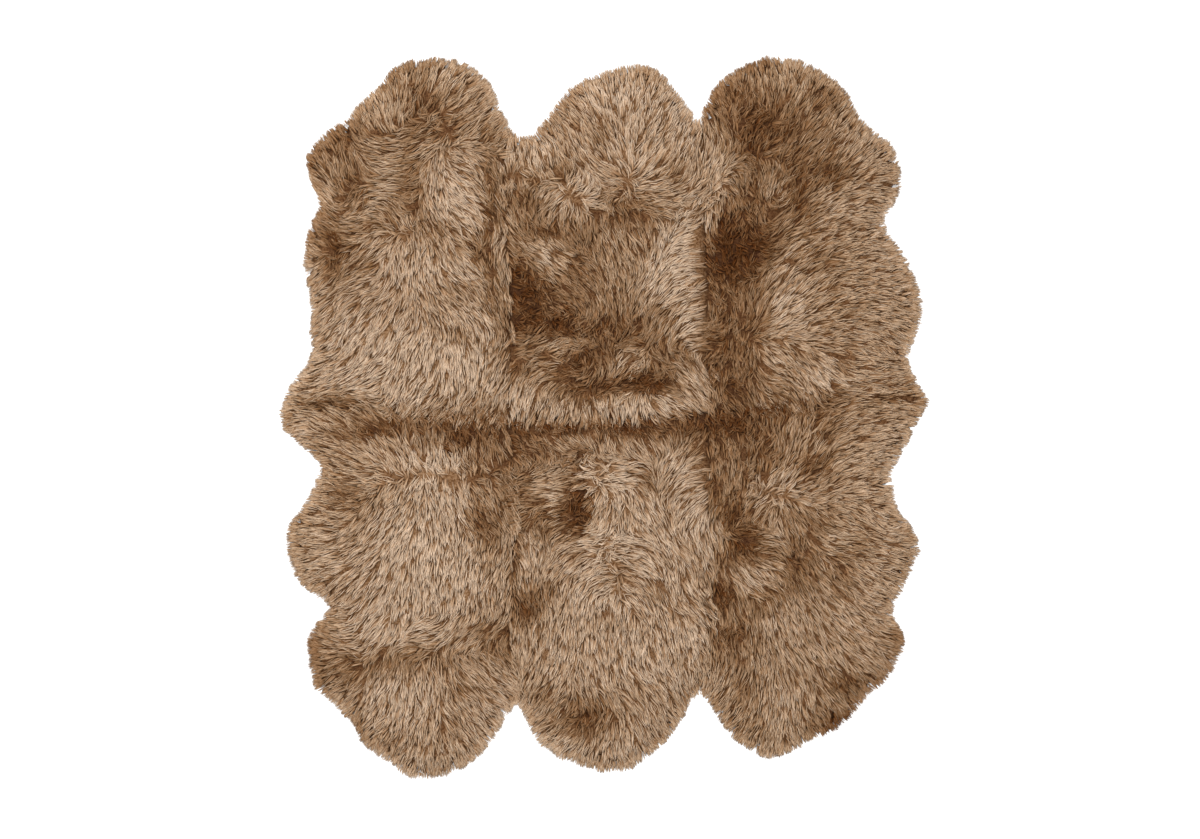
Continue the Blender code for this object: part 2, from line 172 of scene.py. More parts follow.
BRUSHED_TOP_MIDDLE = strokes(
    (510, 160, 95), (530, 155, 100), (545, 140, 112), (560, 130, 122), (575, 115, 128), (585, 100, 120),
    (600, 82, 103), (620, 85, 93), (640, 82, 86), (655, 90, 74), (668, 90, 62), (682, 110, 62),
    (620, 120, 95), (600, 130, 113), (580, 145, 120), (560, 160, 110), (540, 175, 100), (640, 120, 80),
    (660, 130, 58), (680, 130, 68), (692, 145, 76), (698, 165, 82), (645, 150, 58), (670, 165, 58),
    (615, 150, 112), (622, 162, 128), (590, 165, 118), (606, 176, 172), (585, 186, 55), (596, 200, 15),
    (592, 212, -72), (575, 215, -88), (558, 212, 262), (548, 204, 238), (552, 194, 200), (640, 166, 55),
    (652, 180, 18), (640, 192, -8), (660, 196, 5), (682, 192, 22), (697, 190, 45), (660, 207, -5),
    (625, 205, -70), (612, 192, 185), (535, 190, 265), (515, 190, 272), (520, 212, -74), (515, 232, -52),
    (535, 240, -38), (525, 250, -32), (550, 250, -25), (570, 258, -18), (560, 235, -70), (585, 235, -88),
    (600, 225, -88), (605, 245, -68), (625, 240, -70), (640, 235, -72), (660, 230, 265), (630, 262, -66),
    (605, 272, -74), (585, 275, -42), (560, 272, -38), (545, 280, -48), (530, 275, -55), (655, 262, 250),
    (642, 285, 236), (664, 278, 232), (685, 270, 198), (690, 245, 200), (688, 222, 212), (670, 300, 222),
    (690, 300, 203), (675, 322, 235), (662, 335, 250), (698, 320, 192), (695, 345, 190), (620, 295, -82),
    (600, 300, -76), (580, 300, -25), (560, 300, -25), (640, 300, 248), (610, 322, -85), (584, 322, 240),
    (560, 320, -55), (540, 305, -50), (520, 300, -20), (520, 320, -15), (537, 336, 20), (549, 347, 27),
    (520, 345, 20), (561, 350, 34), (574, 342, 40), (600, 358, -62), (590, 374, 228), (608, 366, -60),
    (640, 354, 172), (628, 361, 215), (622, 368, 240), (650, 360, -25), (545, 367, 205), (530, 375, 222),
    (524, 385, 262), (520, 400, 268), (550, 378, 192), (570, 384, 188), (600, 388, 192), (630, 385, 185),
    (650, 378, 190), (540, 400, 252), (555, 402, 248), (575, 406, 262), (590, 404, -72), (610, 406, -86),
    (635, 405, -82), (660, 401, -42), (675, 406, -32), (690, 390, -42), (690, 372, -72), (597, 315, 250),
    (575, 334, 234), (681, 366, -14), (693, 367, -48),
)
BRUSHED_TOP_RIGHT = strokes(
    (725, 80, 95), (720, 100, 112), (714, 120, 104), (740, 85, 90), (760, 75, 88), (783, 67, 115),
    (800, 72, 68), (815, 82, 66), (832, 92, 60), (846, 98, 66), (760, 100, 92), (785, 98, 74),
    (805, 110, 55), (825, 115, 50), (845, 118, 58), (864, 135, 55), (840, 140, 50), (885, 155, 35),
    (862, 160, 38), (892, 175, 10), (872, 178, 18), (835, 165, 50), (810, 150, 52), (815, 180, 50),
    (740, 110, 78), (728, 132, 118), (712, 145, 88), (722, 160, 62), (712, 172, 72), (735, 165, 40),
    (738, 185, -62), (748, 178, -75), (757, 168, -80), (772, 180, 240), (790, 190, 60), (760, 202, -85),
    (745, 210, -88), (730, 220, -85), (745, 240, -88), (770, 140, 45), (750, 130, 50), (790, 130, 52),
    (785, 212, 36), (805, 205, 45), (830, 200, 38), (850, 205, 6), (875, 205, 4), (860, 192, 20),
    (885, 192, 10), (830, 218, 25), (855, 225, 18), (875, 225, 8), (800, 232, 28), (825, 240, 27),
    (850, 242, 18), (880, 242, 5), (780, 242, 40), (765, 245, -30), (790, 257, 35), (815, 265, 25),
    (840, 262, 16), (868, 265, 0), (892, 268, 4), (780, 275, 55), (802, 280, 45), (825, 286, 33),
    (850, 285, 10), (880, 285, -2), (905, 295, -4), (765, 295, 60), (790, 305, 46), (815, 305, 26),
    (845, 312, 12), (875, 312, -9), (900, 320, -12), (780, 322, 38), (800, 330, 25), (830, 332, 14),
    (860, 325, -2), (890, 338, -25), (768, 332, 35), (752, 312, 88), (745, 290, 86), (776, 346, -30),
    (768, 357, -56), (757, 358, -80), (745, 355, 262), (735, 335, 266), (725, 300, 268), (716, 310, -84),
    (712, 335, 188), (714, 262, -66), (718, 276, -58), (727, 290, -62), (740, 272, -80), (745, 380, 268),
    (715, 385, 268), (725, 370, 262), (735, 397, -60), (800, 348, -35), (822, 350, -20), (840, 352, -12),
    (812, 366, -45), (822, 377, -50), (800, 376, -55), (790, 364, -48), (835, 374, -35), (855, 362, -12),
    (775, 373, 0), (782, 388, -20), (797, 392, -60), (860, 382, -4), (885, 375, -6), (905, 372, -14),
    (890, 392, 3), (915, 395, 2), (850, 398, 12), (760, 390, -60),
)
BRUSHED_BOTTOM_LEFT = strokes(
    (290, 415, 180), (320, 415, 155), (350, 430, 145), (380, 450, 130), (420, 430, 102), (350, 460, 160),
    (370, 472, 178), (440, 450, 95), (465, 440, 100), (490, 445, 104), (400, 465, 112), (440, 464, 100),
    (480, 465, 98), (405, 490, 248), (440, 488, -86), (478, 488, -66), (340, 500, 180), (320, 510, 180),
    (310, 530, 180), (370, 520, 235), (390, 502, 238), (400, 520, 250), (430, 502, -80), (440, 522, -85),
    (460, 500, -65), (480, 510, -60), (495, 490, -60), (505, 508, -62), (300, 550, 183), (310, 570, 190),
    (330, 560, 190), (350, 560, 215), (370, 550, 228), (390, 560, 250), (420, 570, 265), (450, 560, 270),
    (470, 570, 255), (490, 570, 258), (505, 560, 262), (340, 590, 220), (360, 600, 235), (340, 620, 200),
    (370, 620, 230), (400, 610, 262), (440, 600, 268), (480, 600, 265), (450, 630, 235), (470, 640, 215),
    (430, 635, 190), (490, 640, 225), (335, 640, 172), (320, 640, 170), (320, 660, 200), (330, 680, 212),
    (340, 700, 218), (380, 690, 245), (400, 690, 265), (360, 720, 247), (420, 720, 255), (460, 720, -55),
    (480, 700, -50), (490, 680, -38), (480, 730, -60), (450, 750, -75), (430, 760, 268), (400, 755, 250),
    (380, 745, 235), (470, 670, -40), (485, 660, -26), (500, 662, -60), (500, 685, -32), (430, 690, -85),
    (445, 670, -70),
)
BRUSHED_BOTTOM_MIDDLE = strokes(
    (560, 430, -60), (578, 436, -50), (545, 442, -60), (530, 448, -30), (595, 432, -70), (620, 440, -70),
    (640, 438, -62), (662, 436, -50), (520, 456, -45), (540, 462, 192), (562, 466, 186), (575, 456, 30),
    (588, 470, 180), (614, 470, -4), (630, 474, 18), (558, 482, 185), (545, 494, 180), (612, 486, -6),
    (545, 510, 180), (520, 480, 195), (518, 500, 198), (525, 520, 188), (555, 524, 190), (590, 500, 215),
    (610, 512, 250), (622, 512, -86), (634, 500, -70), (648, 482, -52), (646, 503, -56), (663, 512, -55),
    (682, 452, 238), (675, 466, 235), (700, 470, 186), (696, 486, 192), (683, 496, 220), (680, 512, 224),
    (668, 490, 228), (700, 506, 212), (710, 520, -80), (690, 528, 238), (515, 545, -62), (520, 568, -85),
    (535, 550, -78), (530, 575, -86), (548, 562, 228), (562, 550, 206), (582, 545, 192), (602, 552, 186),
    (575, 562, 216), (562, 572, 232), (580, 578, 238), (614, 552, 0), (632, 560, -12), (652, 564, -36),
    (642, 574, -25), (656, 580, -62), (630, 578, -24), (608, 584, 196), (592, 588, 216), (669, 556, -64),
    (678, 545, -46), (692, 542, -52), (702, 552, -70), (690, 562, -60), (680, 585, -85), (700, 582, -60),
    (692, 602, -50), (703, 606, -52), (560, 592, 262), (580, 602, 265), (602, 612, 268), (622, 606, 265),
    (647, 604, -68), (635, 592, -15), (540, 602, 262), (520, 600, -62), (522, 640, 268), (542, 640, 262),
    (562, 642, 260), (560, 662, 254), (582, 642, -86), (602, 642, -85), (622, 642, -88), (642, 640, -88),
    (662, 640, -72), (675, 645, 268), (692, 642, -70), (702, 655, -75), (508, 665, -65), (520, 675, 254),
    (532, 688, 248), (602, 662, -76), (600, 682, -80), (590, 692, -66), (612, 692, -60), (632, 700, -60),
    (652, 692, -55), (672, 692, -70), (640, 722, -72), (640, 742, -78), (562, 712, 226), (550, 732, 222),
    (572, 735, 226), (590, 742, 250), (602, 722, 262), (542, 700, 238), (560, 752, 226), (600, 760, 265),
    (622, 760, -80), (650, 745, -66), (668, 715, -66), (682, 700, -74), (541, 455, -34), (558, 455, -30),
    (537, 520, -86), (537, 536, -64), (538, 556, -72), (609, 503, 250), (669, 574, -78), (657, 594, -66),
    (681, 570, -88), (705, 548, -84), (705, 572, -86), (669, 516, -66),
)
BRUSHED_BOTTOM_RIGHT = strokes(
    (905, 410, 6), (880, 415, 6), (855, 415, 12), (838, 418, 26), (850, 430, 14), (872, 432, 12),
    (895, 432, 8), (862, 447, 12), (885, 450, 6), (840, 441, 30), (828, 430, 60), (818, 444, 66),
    (812, 456, 60), (830, 456, 36), (850, 462, 16), (873, 465, 10), (818, 472, 55), (832, 476, 36),
    (852, 478, 20), (875, 480, 8), (822, 490, 40), (850, 491, 15), (872, 492, 4), (765, 435, 88),
    (785, 440, 86), (800, 440, 75), (780, 472, 55), (760, 470, 82), (790, 475, 58), (775, 485, 45),
    (800, 488, 15), (812, 497, 2), (832, 504, 8), (800, 508, -50), (790, 516, -66), (812, 516, -55),
    (825, 522, -42), (776, 512, 268), (768, 502, 200), (752, 508, 222), (742, 498, 248), (735, 515, 245),
    (846, 506, -25), (862, 515, -42), (842, 520, -14), (878, 520, -30), (730, 440, -84), (730, 465, -86),
    (732, 488, -88), (745, 535, 5), (762, 545, 3), (775, 555, -8), (725, 540, -65), (732, 552, -75),
    (745, 562, -45), (757, 576, -50), (735, 572, -48), (765, 586, -25), (783, 570, -40), (792, 552, -75),
    (802, 540, -75), (796, 575, -70), (812, 560, -60), (825, 542, -10), (845, 542, -12), (872, 545, -12),
    (895, 540, -8), (862, 562, -26), (885, 562, -16), (903, 562, -10), (850, 575, -40), (830, 582, -50),
    (865, 582, -30), (888, 588, -20), (842, 602, -46), (870, 605, -30), (885, 615, -28), (820, 600, -56),
    (732, 602, -75), (745, 612, -70), (762, 620, -88), (782, 612, -76), (800, 622, -65), (782, 642, -66),
    (803, 645, -60), (822, 645, -55), (842, 640, -46), (865, 642, -38), (885, 640, -35), (897, 648, -28),
    (722, 632, -88), (722, 652, -84), (740, 655, -86), (757, 652, -86), (720, 675, 258), (740, 682, 250),
    (728, 697, 238), (752, 700, 262), (765, 682, 268), (783, 682, -80), (800, 680, -64), (822, 684, -60),
    (845, 688, -54), (865, 675, -42), (880, 665, -38), (850, 703, -44), (832, 712, -58), (800, 705, -80),
    (785, 722, -87), (765, 725, 258), (745, 728, 246), (772, 748, 262), (800, 738, -70), (825, 724, -52),
    (717, 560, -86), (717, 578, -88),
)
BRUSHED = {
    "pelt_top_left": BRUSHED_TOP_LEFT,
    "pelt_top_middle": BRUSHED_TOP_MIDDLE,
    "pelt_top_right": BRUSHED_TOP_RIGHT,
    "pelt_bottom_left": BRUSHED_BOTTOM_LEFT,
    "pelt_bottom_middle": BRUSHED_BOTTOM_MIDDLE,
    "pelt_bottom_right": BRUSHED_BOTTOM_RIGHT,
}

# Where the wool lies open its brown roots show, and where it lies flat its tips are pale. These patches
# are partly that own colour of the wool and partly painted shade and painted light: darker in creases,
# along the joins, under a fold and where the wool bends down at the rim, and lighter on ridges that catch
# the light.
SHADES_TOP_LEFT = shades(
    (345, 145, 26, 20, -28), (388, 82, 26, 18, -28), (345, 222, 9, 34, -20, -6), (352, 188, 10, 8, -16),
    (335, 256, 10, 14, -30), (425, 100, 15, 16, -32), (447, 130, 15, 8, -26), (488, 225, 6, 60, -46),
    (412, 193, 8, 20, -16), (310, 232, 9, 22, -20), (468, 242, 13, 9, -30), (480, 150, 6, 28, -14),
    (474, 336, 30, 4, -50, -18), (390, 345, 74, 44, 20), (410, 362, 66, 27, 14), (450, 190, 20, 38, 32),
    (440, 84, 14, 9, 28), (405, 255, 20, 18, 26), (440, 270, 34, 15, 16), (475, 312, 15, 10, 24),
    (468, 358, 20, 18, 28), (419, 165, 7, 38, -22), (367, 186, 8, 14, -20), (369, 260, 9, 9, -20),
    (345, 275, 9, 8, -10), (326, 224, 9, 16, -22), (313, 164, 9, 14, -16), (394, 220, 12, 9, -16),
    (460, 262, 12, 10, 14), (501, 316, 6, 20, -26), (415, 386, 14, 8, 10), (320, 265, 8, 10, 10),
    (301, 400, 13, 26, 22), (462, 320, 22, 6, 14, -18), (490, 96, 14, 32, 20, 20), (490, 244, 12, 10, 18),
    (462, 346, 28, 6, 20), (420, 116, 9, 7, -16), (450, 285, 11, 7, -22), (488, 300, 8, 8, -14),
    (402, 90, 26, 14, 22), (335, 240, 12, 9, -18), (430, 222, 9, 7, -16), (495, 228, 8, 8, 18),
    (455, 321, 9, 7, -28), (462, 345, 12, 9, 16), (412, 386, 16, 14, 30), (495, 388, 10, 13, 16),
    (336, 402, 32, 7, -18), (400, 350, 60, 30, 12), (441, 224, 5, 5, -40), (473, 249, 5, 8, -40, -30),
    (375, 112, 12, 9, 16), (338, 205, 11, 11, 20), (463, 215, 9, 11, 16), (320, 245, 8, 26, 10),
    (350, 320, 12, 14, 10), (395, 190, 7, 20, 12), (460, 264, 12, 7, 12), (462, 343, 13, 8, 22),
    (340, 356, 11, 9, -14),
)
SHADES_TOP_MIDDLE = shades(
    (530, 285, 24, 18, -50), (518, 318, 22, 24, -40), (552, 325, 28, 11, -36), (582, 262, 20, 36, -24),
    (622, 330, 32, 24, -40), (603, 384, 24, 11, -56), (650, 380, 18, 12, -60), (573, 368, 14, 12, -38),
    (530, 197, 20, 11, -26), (545, 226, 28, 11, -26), (620, 210, 24, 9, -26), (690, 180, 12, 9, -8),
    (645, 228, 14, 14, -12), (512, 265, 7, 12, -20), (518, 397, 14, 12, 40), (630, 401, 40, 7, 86),
    (562, 402, 14, 8, 32), (672, 270, 16, 42, 26), (690, 240, 10, 50, 26), (695, 326, 11, 30, 38),
    (690, 378, 10, 15, 22), (579, 191, 19, 12, 46), (640, 135, 40, 46, 22), (518, 165, 24, 9, 20),
    (690, 135, 10, 12, 10), (545, 255, 22, 9, 16, -25), (662, 235, 8, 14, 12), (588, 98, 22, 24, -12),
    (520, 187, 14, 8, -14), (535, 221, 14, 9, -14), (520, 264, 12, 14, -18), (568, 265, 9, 10, -14),
    (560, 317, 10, 9, -14), (588, 354, 8, 10, -24), (515, 365, 9, 10, -22), (665, 345, 9, 11, -22),
    (665, 302, 9, 9, -14), (625, 285, 9, 10, -12), (628, 210, 14, 7, -12), (670, 181, 10, 7, -12),
    (670, 110, 12, 14, 16), (636, 168, 12, 8, 12), (545, 240, 11, 7, 12), (555, 281, 10, 8, 12),
    (690, 242, 8, 26, 16), (632, 357, 13, 7, 46), (530, 389, 10, 6, 12), (540, 255, 12, 14, 26),
    (588, 258, 9, 9, 16), (595, 106, 9, 12, 16), (674, 124, 9, 30, 20), (585, 380, 10, 7, 22),
    (560, 175, 16, 8, -20), (620, 195, 18, 6, -22), (610, 138, 11, 8, -16), (664, 176, 12, 8, -18),
    (688, 346, 9, 9, -26), (515, 254, 8, 8, -12), (530, 366, 12, 7, -14), (605, 143, 8, 10, -16),
    (570, 180, 9, 9, -16), (580, 150, 6, 13, 16), (568, 314, 13, 8, -20), (577, 393, 10, 9, -26),
    (690, 350, 8, 15, -30), (520, 383, 8, 12, 18), (663, 130, 6, 18, -14), (542, 280, 9, 18, 10),
    (545, 160, 15, 16, 24), (607, 104, 20, 18, 30), (660, 270, 9, 17, 20), (695, 240, 8, 20, 12),
    (676, 308, 12, 8, -24), (645, 182, 8, 12, 14), (598, 402, 11, 11, -16),
)
SHADES_TOP_RIGHT = shades(
    (737, 92, 22, 24, -15), (765, 130, 30, 20, -50), (820, 105, 12, 13, -30), (752, 208, 26, 32, -32),
    (730, 250, 18, 18, -30), (720, 262, 26, 32, -56), (720, 345, 18, 26, -46), (757, 245, 12, 16, -30),
    (745, 152, 13, 10, -18), (797, 190, 10, 20, -25), (820, 165, 20, 11, -18), (738, 388, 24, 14, -42),
    (835, 393, 8, 6, -40), (868, 406, 6, 4, -22), (785, 68, 14, 8, 12), (785, 318, 20, 18, 26),
    (790, 285, 24, 24, 10), (824, 370, 24, 14, 34), (714, 385, 6, 12, 20), (711, 168, 8, 22, 20),
    (828, 210, 14, 12, 10), (885, 262, 34, 80, 16), (758, 66, 20, 8, -28), (715, 105, 8, 12, -12),
    (835, 176, 13, 9, -20), (815, 265, 14, 9, -22), (762, 305, 7, 36, -14), (749, 350, 10, 24, -30),
    (796, 211, 9, 8, -12), (842, 360, 11, 8, -32), (825, 140, 12, 9, -10), (780, 121, 12, 8, 14),
    (720, 181, 8, 10, 14), (776, 196, 8, 9, 14), (870, 146, 12, 10, 12), (885, 222, 16, 18, 10),
    (757, 405, 12, 5, 12), (845, 396, 8, 5, 14), (905, 350, 18, 30, 8), (708, 222, 12, 20, 30),
    (706, 325, 8, 16, 18), (755, 393, 10, 16, 24), (744, 292, 9, 16, -26), (752, 330, 9, 14, -22),
    (708, 366, 9, 12, -26), (886, 206, 10, 10, 14), (790, 170, 8, 30, -10), (721, 223, 8, 18, -36, -14),
    (820, 180, 16, 10, -28), (755, 178, 7, 10, -18), (756, 345, 15, 20, 26), (840, 362, 9, 8, -20),
    (798, 357, 9, 7, -14), (733, 105, 12, 8, -14), (728, 312, 8, 9, -14), (705, 212, 6, 16, 14),
    (722, 268, 18, 24, 12), (800, 218, 12, 12, -16), (840, 165, 10, 11, 12), (773, 178, 9, 8, 16),
    (850, 362, 8, 8, 18), (715, 350, 8, 12, 18), (752, 364, 8, 9, -14), (850, 290, 46, 60, -7),
    (895, 405, 24, 14, -16),
)
# Darker wool along the joins: partly roots showing where the wool parts, and partly painted shade in the
# joins.
SHADES_JOINS = shades(
    (405, 431, 74, 9, -34), (340, 404, 38, 6, -24), (368, 433, 20, 9, -18), (475, 434, 34, 12, -30),
    (560, 424, 58, 6, -42), (640, 425, 46, 7, -32), (725, 418, 44, 11, -50), (790, 414, 36, 7, -40),
    (820, 400, 14, 8, -28), (385, 436, 14, 6, -12), (460, 446, 16, 6, -22), (475, 466, 12, 6, -12),
    (430, 420, 14, 6, -12), (560, 427, 34, 4, -12), (636, 422, 20, 5, -22), (696, 411, 12, 6, -22),
    (811, 420, 10, 6, -12), (500, 448, 12, 10, -20), (712, 447, 12, 8, -24), (826, 432, 16, 7, -14),
    (876, 415, 20, 6, -12),
)
SHADES_BOTTOM_LEFT = shades(
    (489, 550, 8, 56, -26), (478, 512, 8, 18, -22), (355, 497, 20, 12, -36), (410, 655, 52, 8, -34, 8),
    (355, 675, 8, 8, -20), (397, 738, 8, 6, -20), (497, 642, 10, 15, -30), (415, 545, 66, 74, 26),
    (435, 560, 34, 55, 16), (435, 470, 24, 7, 20), (410, 696, 44, 34, 26), (325, 565, 22, 20, 10),
    (474, 520, 9, 18, -24), (420, 495, 12, 6, -12), (475, 618, 14, 8, -14), (320, 655, 14, 26, -24),
    (356, 726, 12, 12, -22), (490, 490, 7, 12, 14), (330, 490, 10, 8, 12), (395, 531, 14, 12, 10),
    (474, 566, 10, 18, 22), (380, 615, 16, 12, 10), (415, 681, 20, 10, 12), (490, 700, 16, 38, 26),
    (500, 490, 8, 28, -22), (440, 473, 20, 8, 22), (489, 586, 10, 26, 26), (307, 434, 14, 10, 18),
    (415, 762, 30, 12, 18), (457, 686, 12, 12, -26), (450, 722, 10, 14, -18), (430, 669, 10, 7, -14),
    (360, 532, 10, 12, -14), (375, 442, 16, 6, -18), (458, 450, 12, 7, -28), (476, 470, 8, 13, -24),
    (440, 483, 13, 10, 32), (319, 505, 8, 16, 16), (380, 617, 15, 14, 24), (365, 668, 14, 8, -16),
    (485, 685, 9, 12, -16), (335, 428, 36, 6, 26), (410, 560, 36, 44, 7), (424, 455, 9, 8, -16),
    (472, 515, 8, 13, -16), (455, 588, 9, 10, 20), (398, 645, 8, 8, -16), (460, 735, 12, 15, 16),
    (492, 620, 9, 16, -14, -20), (395, 495, 18, 12, -10), (440, 635, 13, 12, 10),
)
SHADES_BOTTOM_MIDDLE = shades(
    (579, 506, 9, 24, -90), (520, 482, 24, 36, -26), (545, 525, 22, 10, -22), (526, 605, 14, 14, -50),
    (505, 560, 8, 30, -14), (588, 715, 22, 17, -56), (545, 690, 16, 8, -24), (582, 455, 7, 5, -34),
    (530, 448, 18, 9, -26), (590, 447, 14, 6, -14), (620, 573, 12, 7, -20), (655, 586, 10, 7, -22),
    (640, 608, 8, 8, -18), (620, 570, 56, 90, 24), (605, 480, 26, 15, 26), (645, 500, 14, 14, 10),
    (700, 510, 16, 36, 28), (682, 470, 13, 20, 14), (550, 490, 12, 9, 16), (655, 660, 44, 46, 14),
    (555, 645, 36, 32, 14), (600, 742, 54, 24, 24), (640, 475, 10, 9, -42), (580, 455, 10, 6, -14),
    (530, 490, 10, 8, -10), (510, 520, 6, 14, -12), (650, 541, 10, 6, -10), (530, 586, 9, 8, -12),
    (645, 690, 10, 9, -10), (535, 541, 12, 7, 14), (530, 621, 9, 8, 14), (610, 536, 18, 7, 24),
    (615, 591, 12, 8, 14), (675, 575, 12, 10, 18), (690, 630, 10, 14, 20), (545, 722, 14, 18, 10),
    (680, 675, 10, 12, 12), (557, 500, 9, 16, 24), (526, 532, 12, 14, 18), (664, 536, 9, 10, 20),
    (575, 455, 12, 8, -22), (545, 586, 10, 7, -14), (620, 570, 10, 9, -14), (630, 686, 14, 8, -12),
    (566, 740, 14, 12, 12), (525, 452, 8, 8, 18), (550, 512, 9, 16, -32), (588, 515, 8, 22, -24),
    (605, 556, 8, 17, 26), (595, 472, 8, 8, 14), (582, 592, 8, 9, 20), (511, 530, 6, 38, -30),
    (547, 582, 10, 6, -16), (532, 700, 12, 8, 18), (580, 758, 16, 8, -16), (523, 565, 9, 13, 20),
    (602, 535, 9, 17, 16), (590, 500, 9, 9, -22), (612, 615, 10, 9, -22), (673, 455, 9, 9, 26),
    (669, 480, 8, 9, -18), (592, 475, 8, 9, 16), (508, 515, 6, 22, -14), (605, 433, 18, 6, 14),
    (637, 563, 11, 8, 14), (637, 585, 13, 6, -16),
)
SHADES_BOTTOM_RIGHT = shades(
    (755, 440, 24, 18, -30), (738, 512, 14, 28, -46), (746, 543, 18, 10, -36), (792, 562, 16, 22, -48),
    (721, 590, 10, 12, -60), (732, 628, 18, 11, -40), (722, 650, 12, 12, -18), (747, 680, 10, 14, -22),
    (845, 680, 18, 9, -42), (825, 725, 15, 8, -26), (822, 444, 4, 6, -50), (845, 566, 16, 16, -30),
    (815, 522, 14, 10, -18), (716, 485, 5, 14, -30), (866, 704, 34, 11, -22, 40), (850, 605, 44, 50, 8),
    (890, 470, 28, 66, 18), (775, 565, 10, 12, 20), (782, 487, 18, 11, 24), (780, 625, 16, 16, 8),
    (717, 466, 7, 12, -12), (760, 461, 12, 7, -12), (830, 576, 9, 9, -12), (820, 465, 8, 6, -10),
    (900, 640, 10, 14, -20), (840, 715, 14, 8, -20), (765, 540, 13, 6, 24), (741, 575, 12, 12, 42),
    (865, 577, 14, 12, 18), (830, 536, 12, 9, 12), (840, 616, 14, 10, 12), (810, 645, 12, 10, 10),
    (785, 715, 12, 22, 14), (712, 527, 9, 16, 26), (805, 466, 12, 7, -20), (798, 572, 7, 14, 16),
    (712, 672, 10, 14, 14), (862, 684, 12, 8, 12), (760, 720, 12, 8, -10), (720, 558, 12, 10, -20),
    (758, 597, 10, 10, -28), (808, 473, 10, 7, -20), (773, 490, 12, 6, 14), (858, 538, 9, 7, -16),
    (858, 568, 12, 9, 16), (785, 685, 22, 8, 14), (885, 680, 14, 16, -16), (835, 712, 22, 9, -14),
    (765, 470, 11, 11, -20), (802, 482, 15, 10, -14), (792, 508, 15, 6, -16), (735, 590, 12, 7, -20),
    (770, 615, 13, 9, 12),
)
SHADES = {
    "pelt_top_left": SHADES_TOP_LEFT + SHADES_JOINS,
    "pelt_top_middle": SHADES_TOP_MIDDLE + SHADES_JOINS,
    "pelt_top_right": SHADES_TOP_RIGHT + SHADES_JOINS,
    "pelt_bottom_left": SHADES_BOTTOM_LEFT + SHADES_JOINS,
    "pelt_bottom_middle": SHADES_BOTTOM_MIDDLE + SHADES_JOINS,
    "pelt_bottom_right": SHADES_BOTTOM_RIGHT + SHADES_JOINS,
}


def on_rug(across: float, down: float) -> tuple[float, float]:
    """Turns a place in the picture into x and y on the rug, in metres."""
    return (across - RUG_ACROSS) * PICTURE_STEP, (RUG_DOWN - down) * PICTURE_STEP


def unit(ways: np.ndarray) -> np.ndarray:
    """Scales vectors to a length of one, along the last axis."""
    length = np.linalg.norm(ways, axis=-1, keepdims=True)
    return ways / np.maximum(length, NO_LENGTH)


def blurred(grid: np.ndarray, spread: float) -> np.ndarray:
    """Blurs a grid with a bell of that many cells.

    Args:
        grid: The values, rows first.
        spread: The bell's standard deviation, in cells.

    Returns:
        A grid of the same size.
    """
    half = max(1, int(3 * spread))
    bell = np.exp(-0.5 * (np.arange(-half, half + 1) / spread) ** 2)
    bell /= bell.sum()
    padded = np.pad(grid, half, mode="edge")
    rows = sum(w * padded[:, i:i + grid.shape[1]] for i, w in enumerate(bell))
    return sum(w * rows[i:i + grid.shape[0]] for i, w in enumerate(bell))


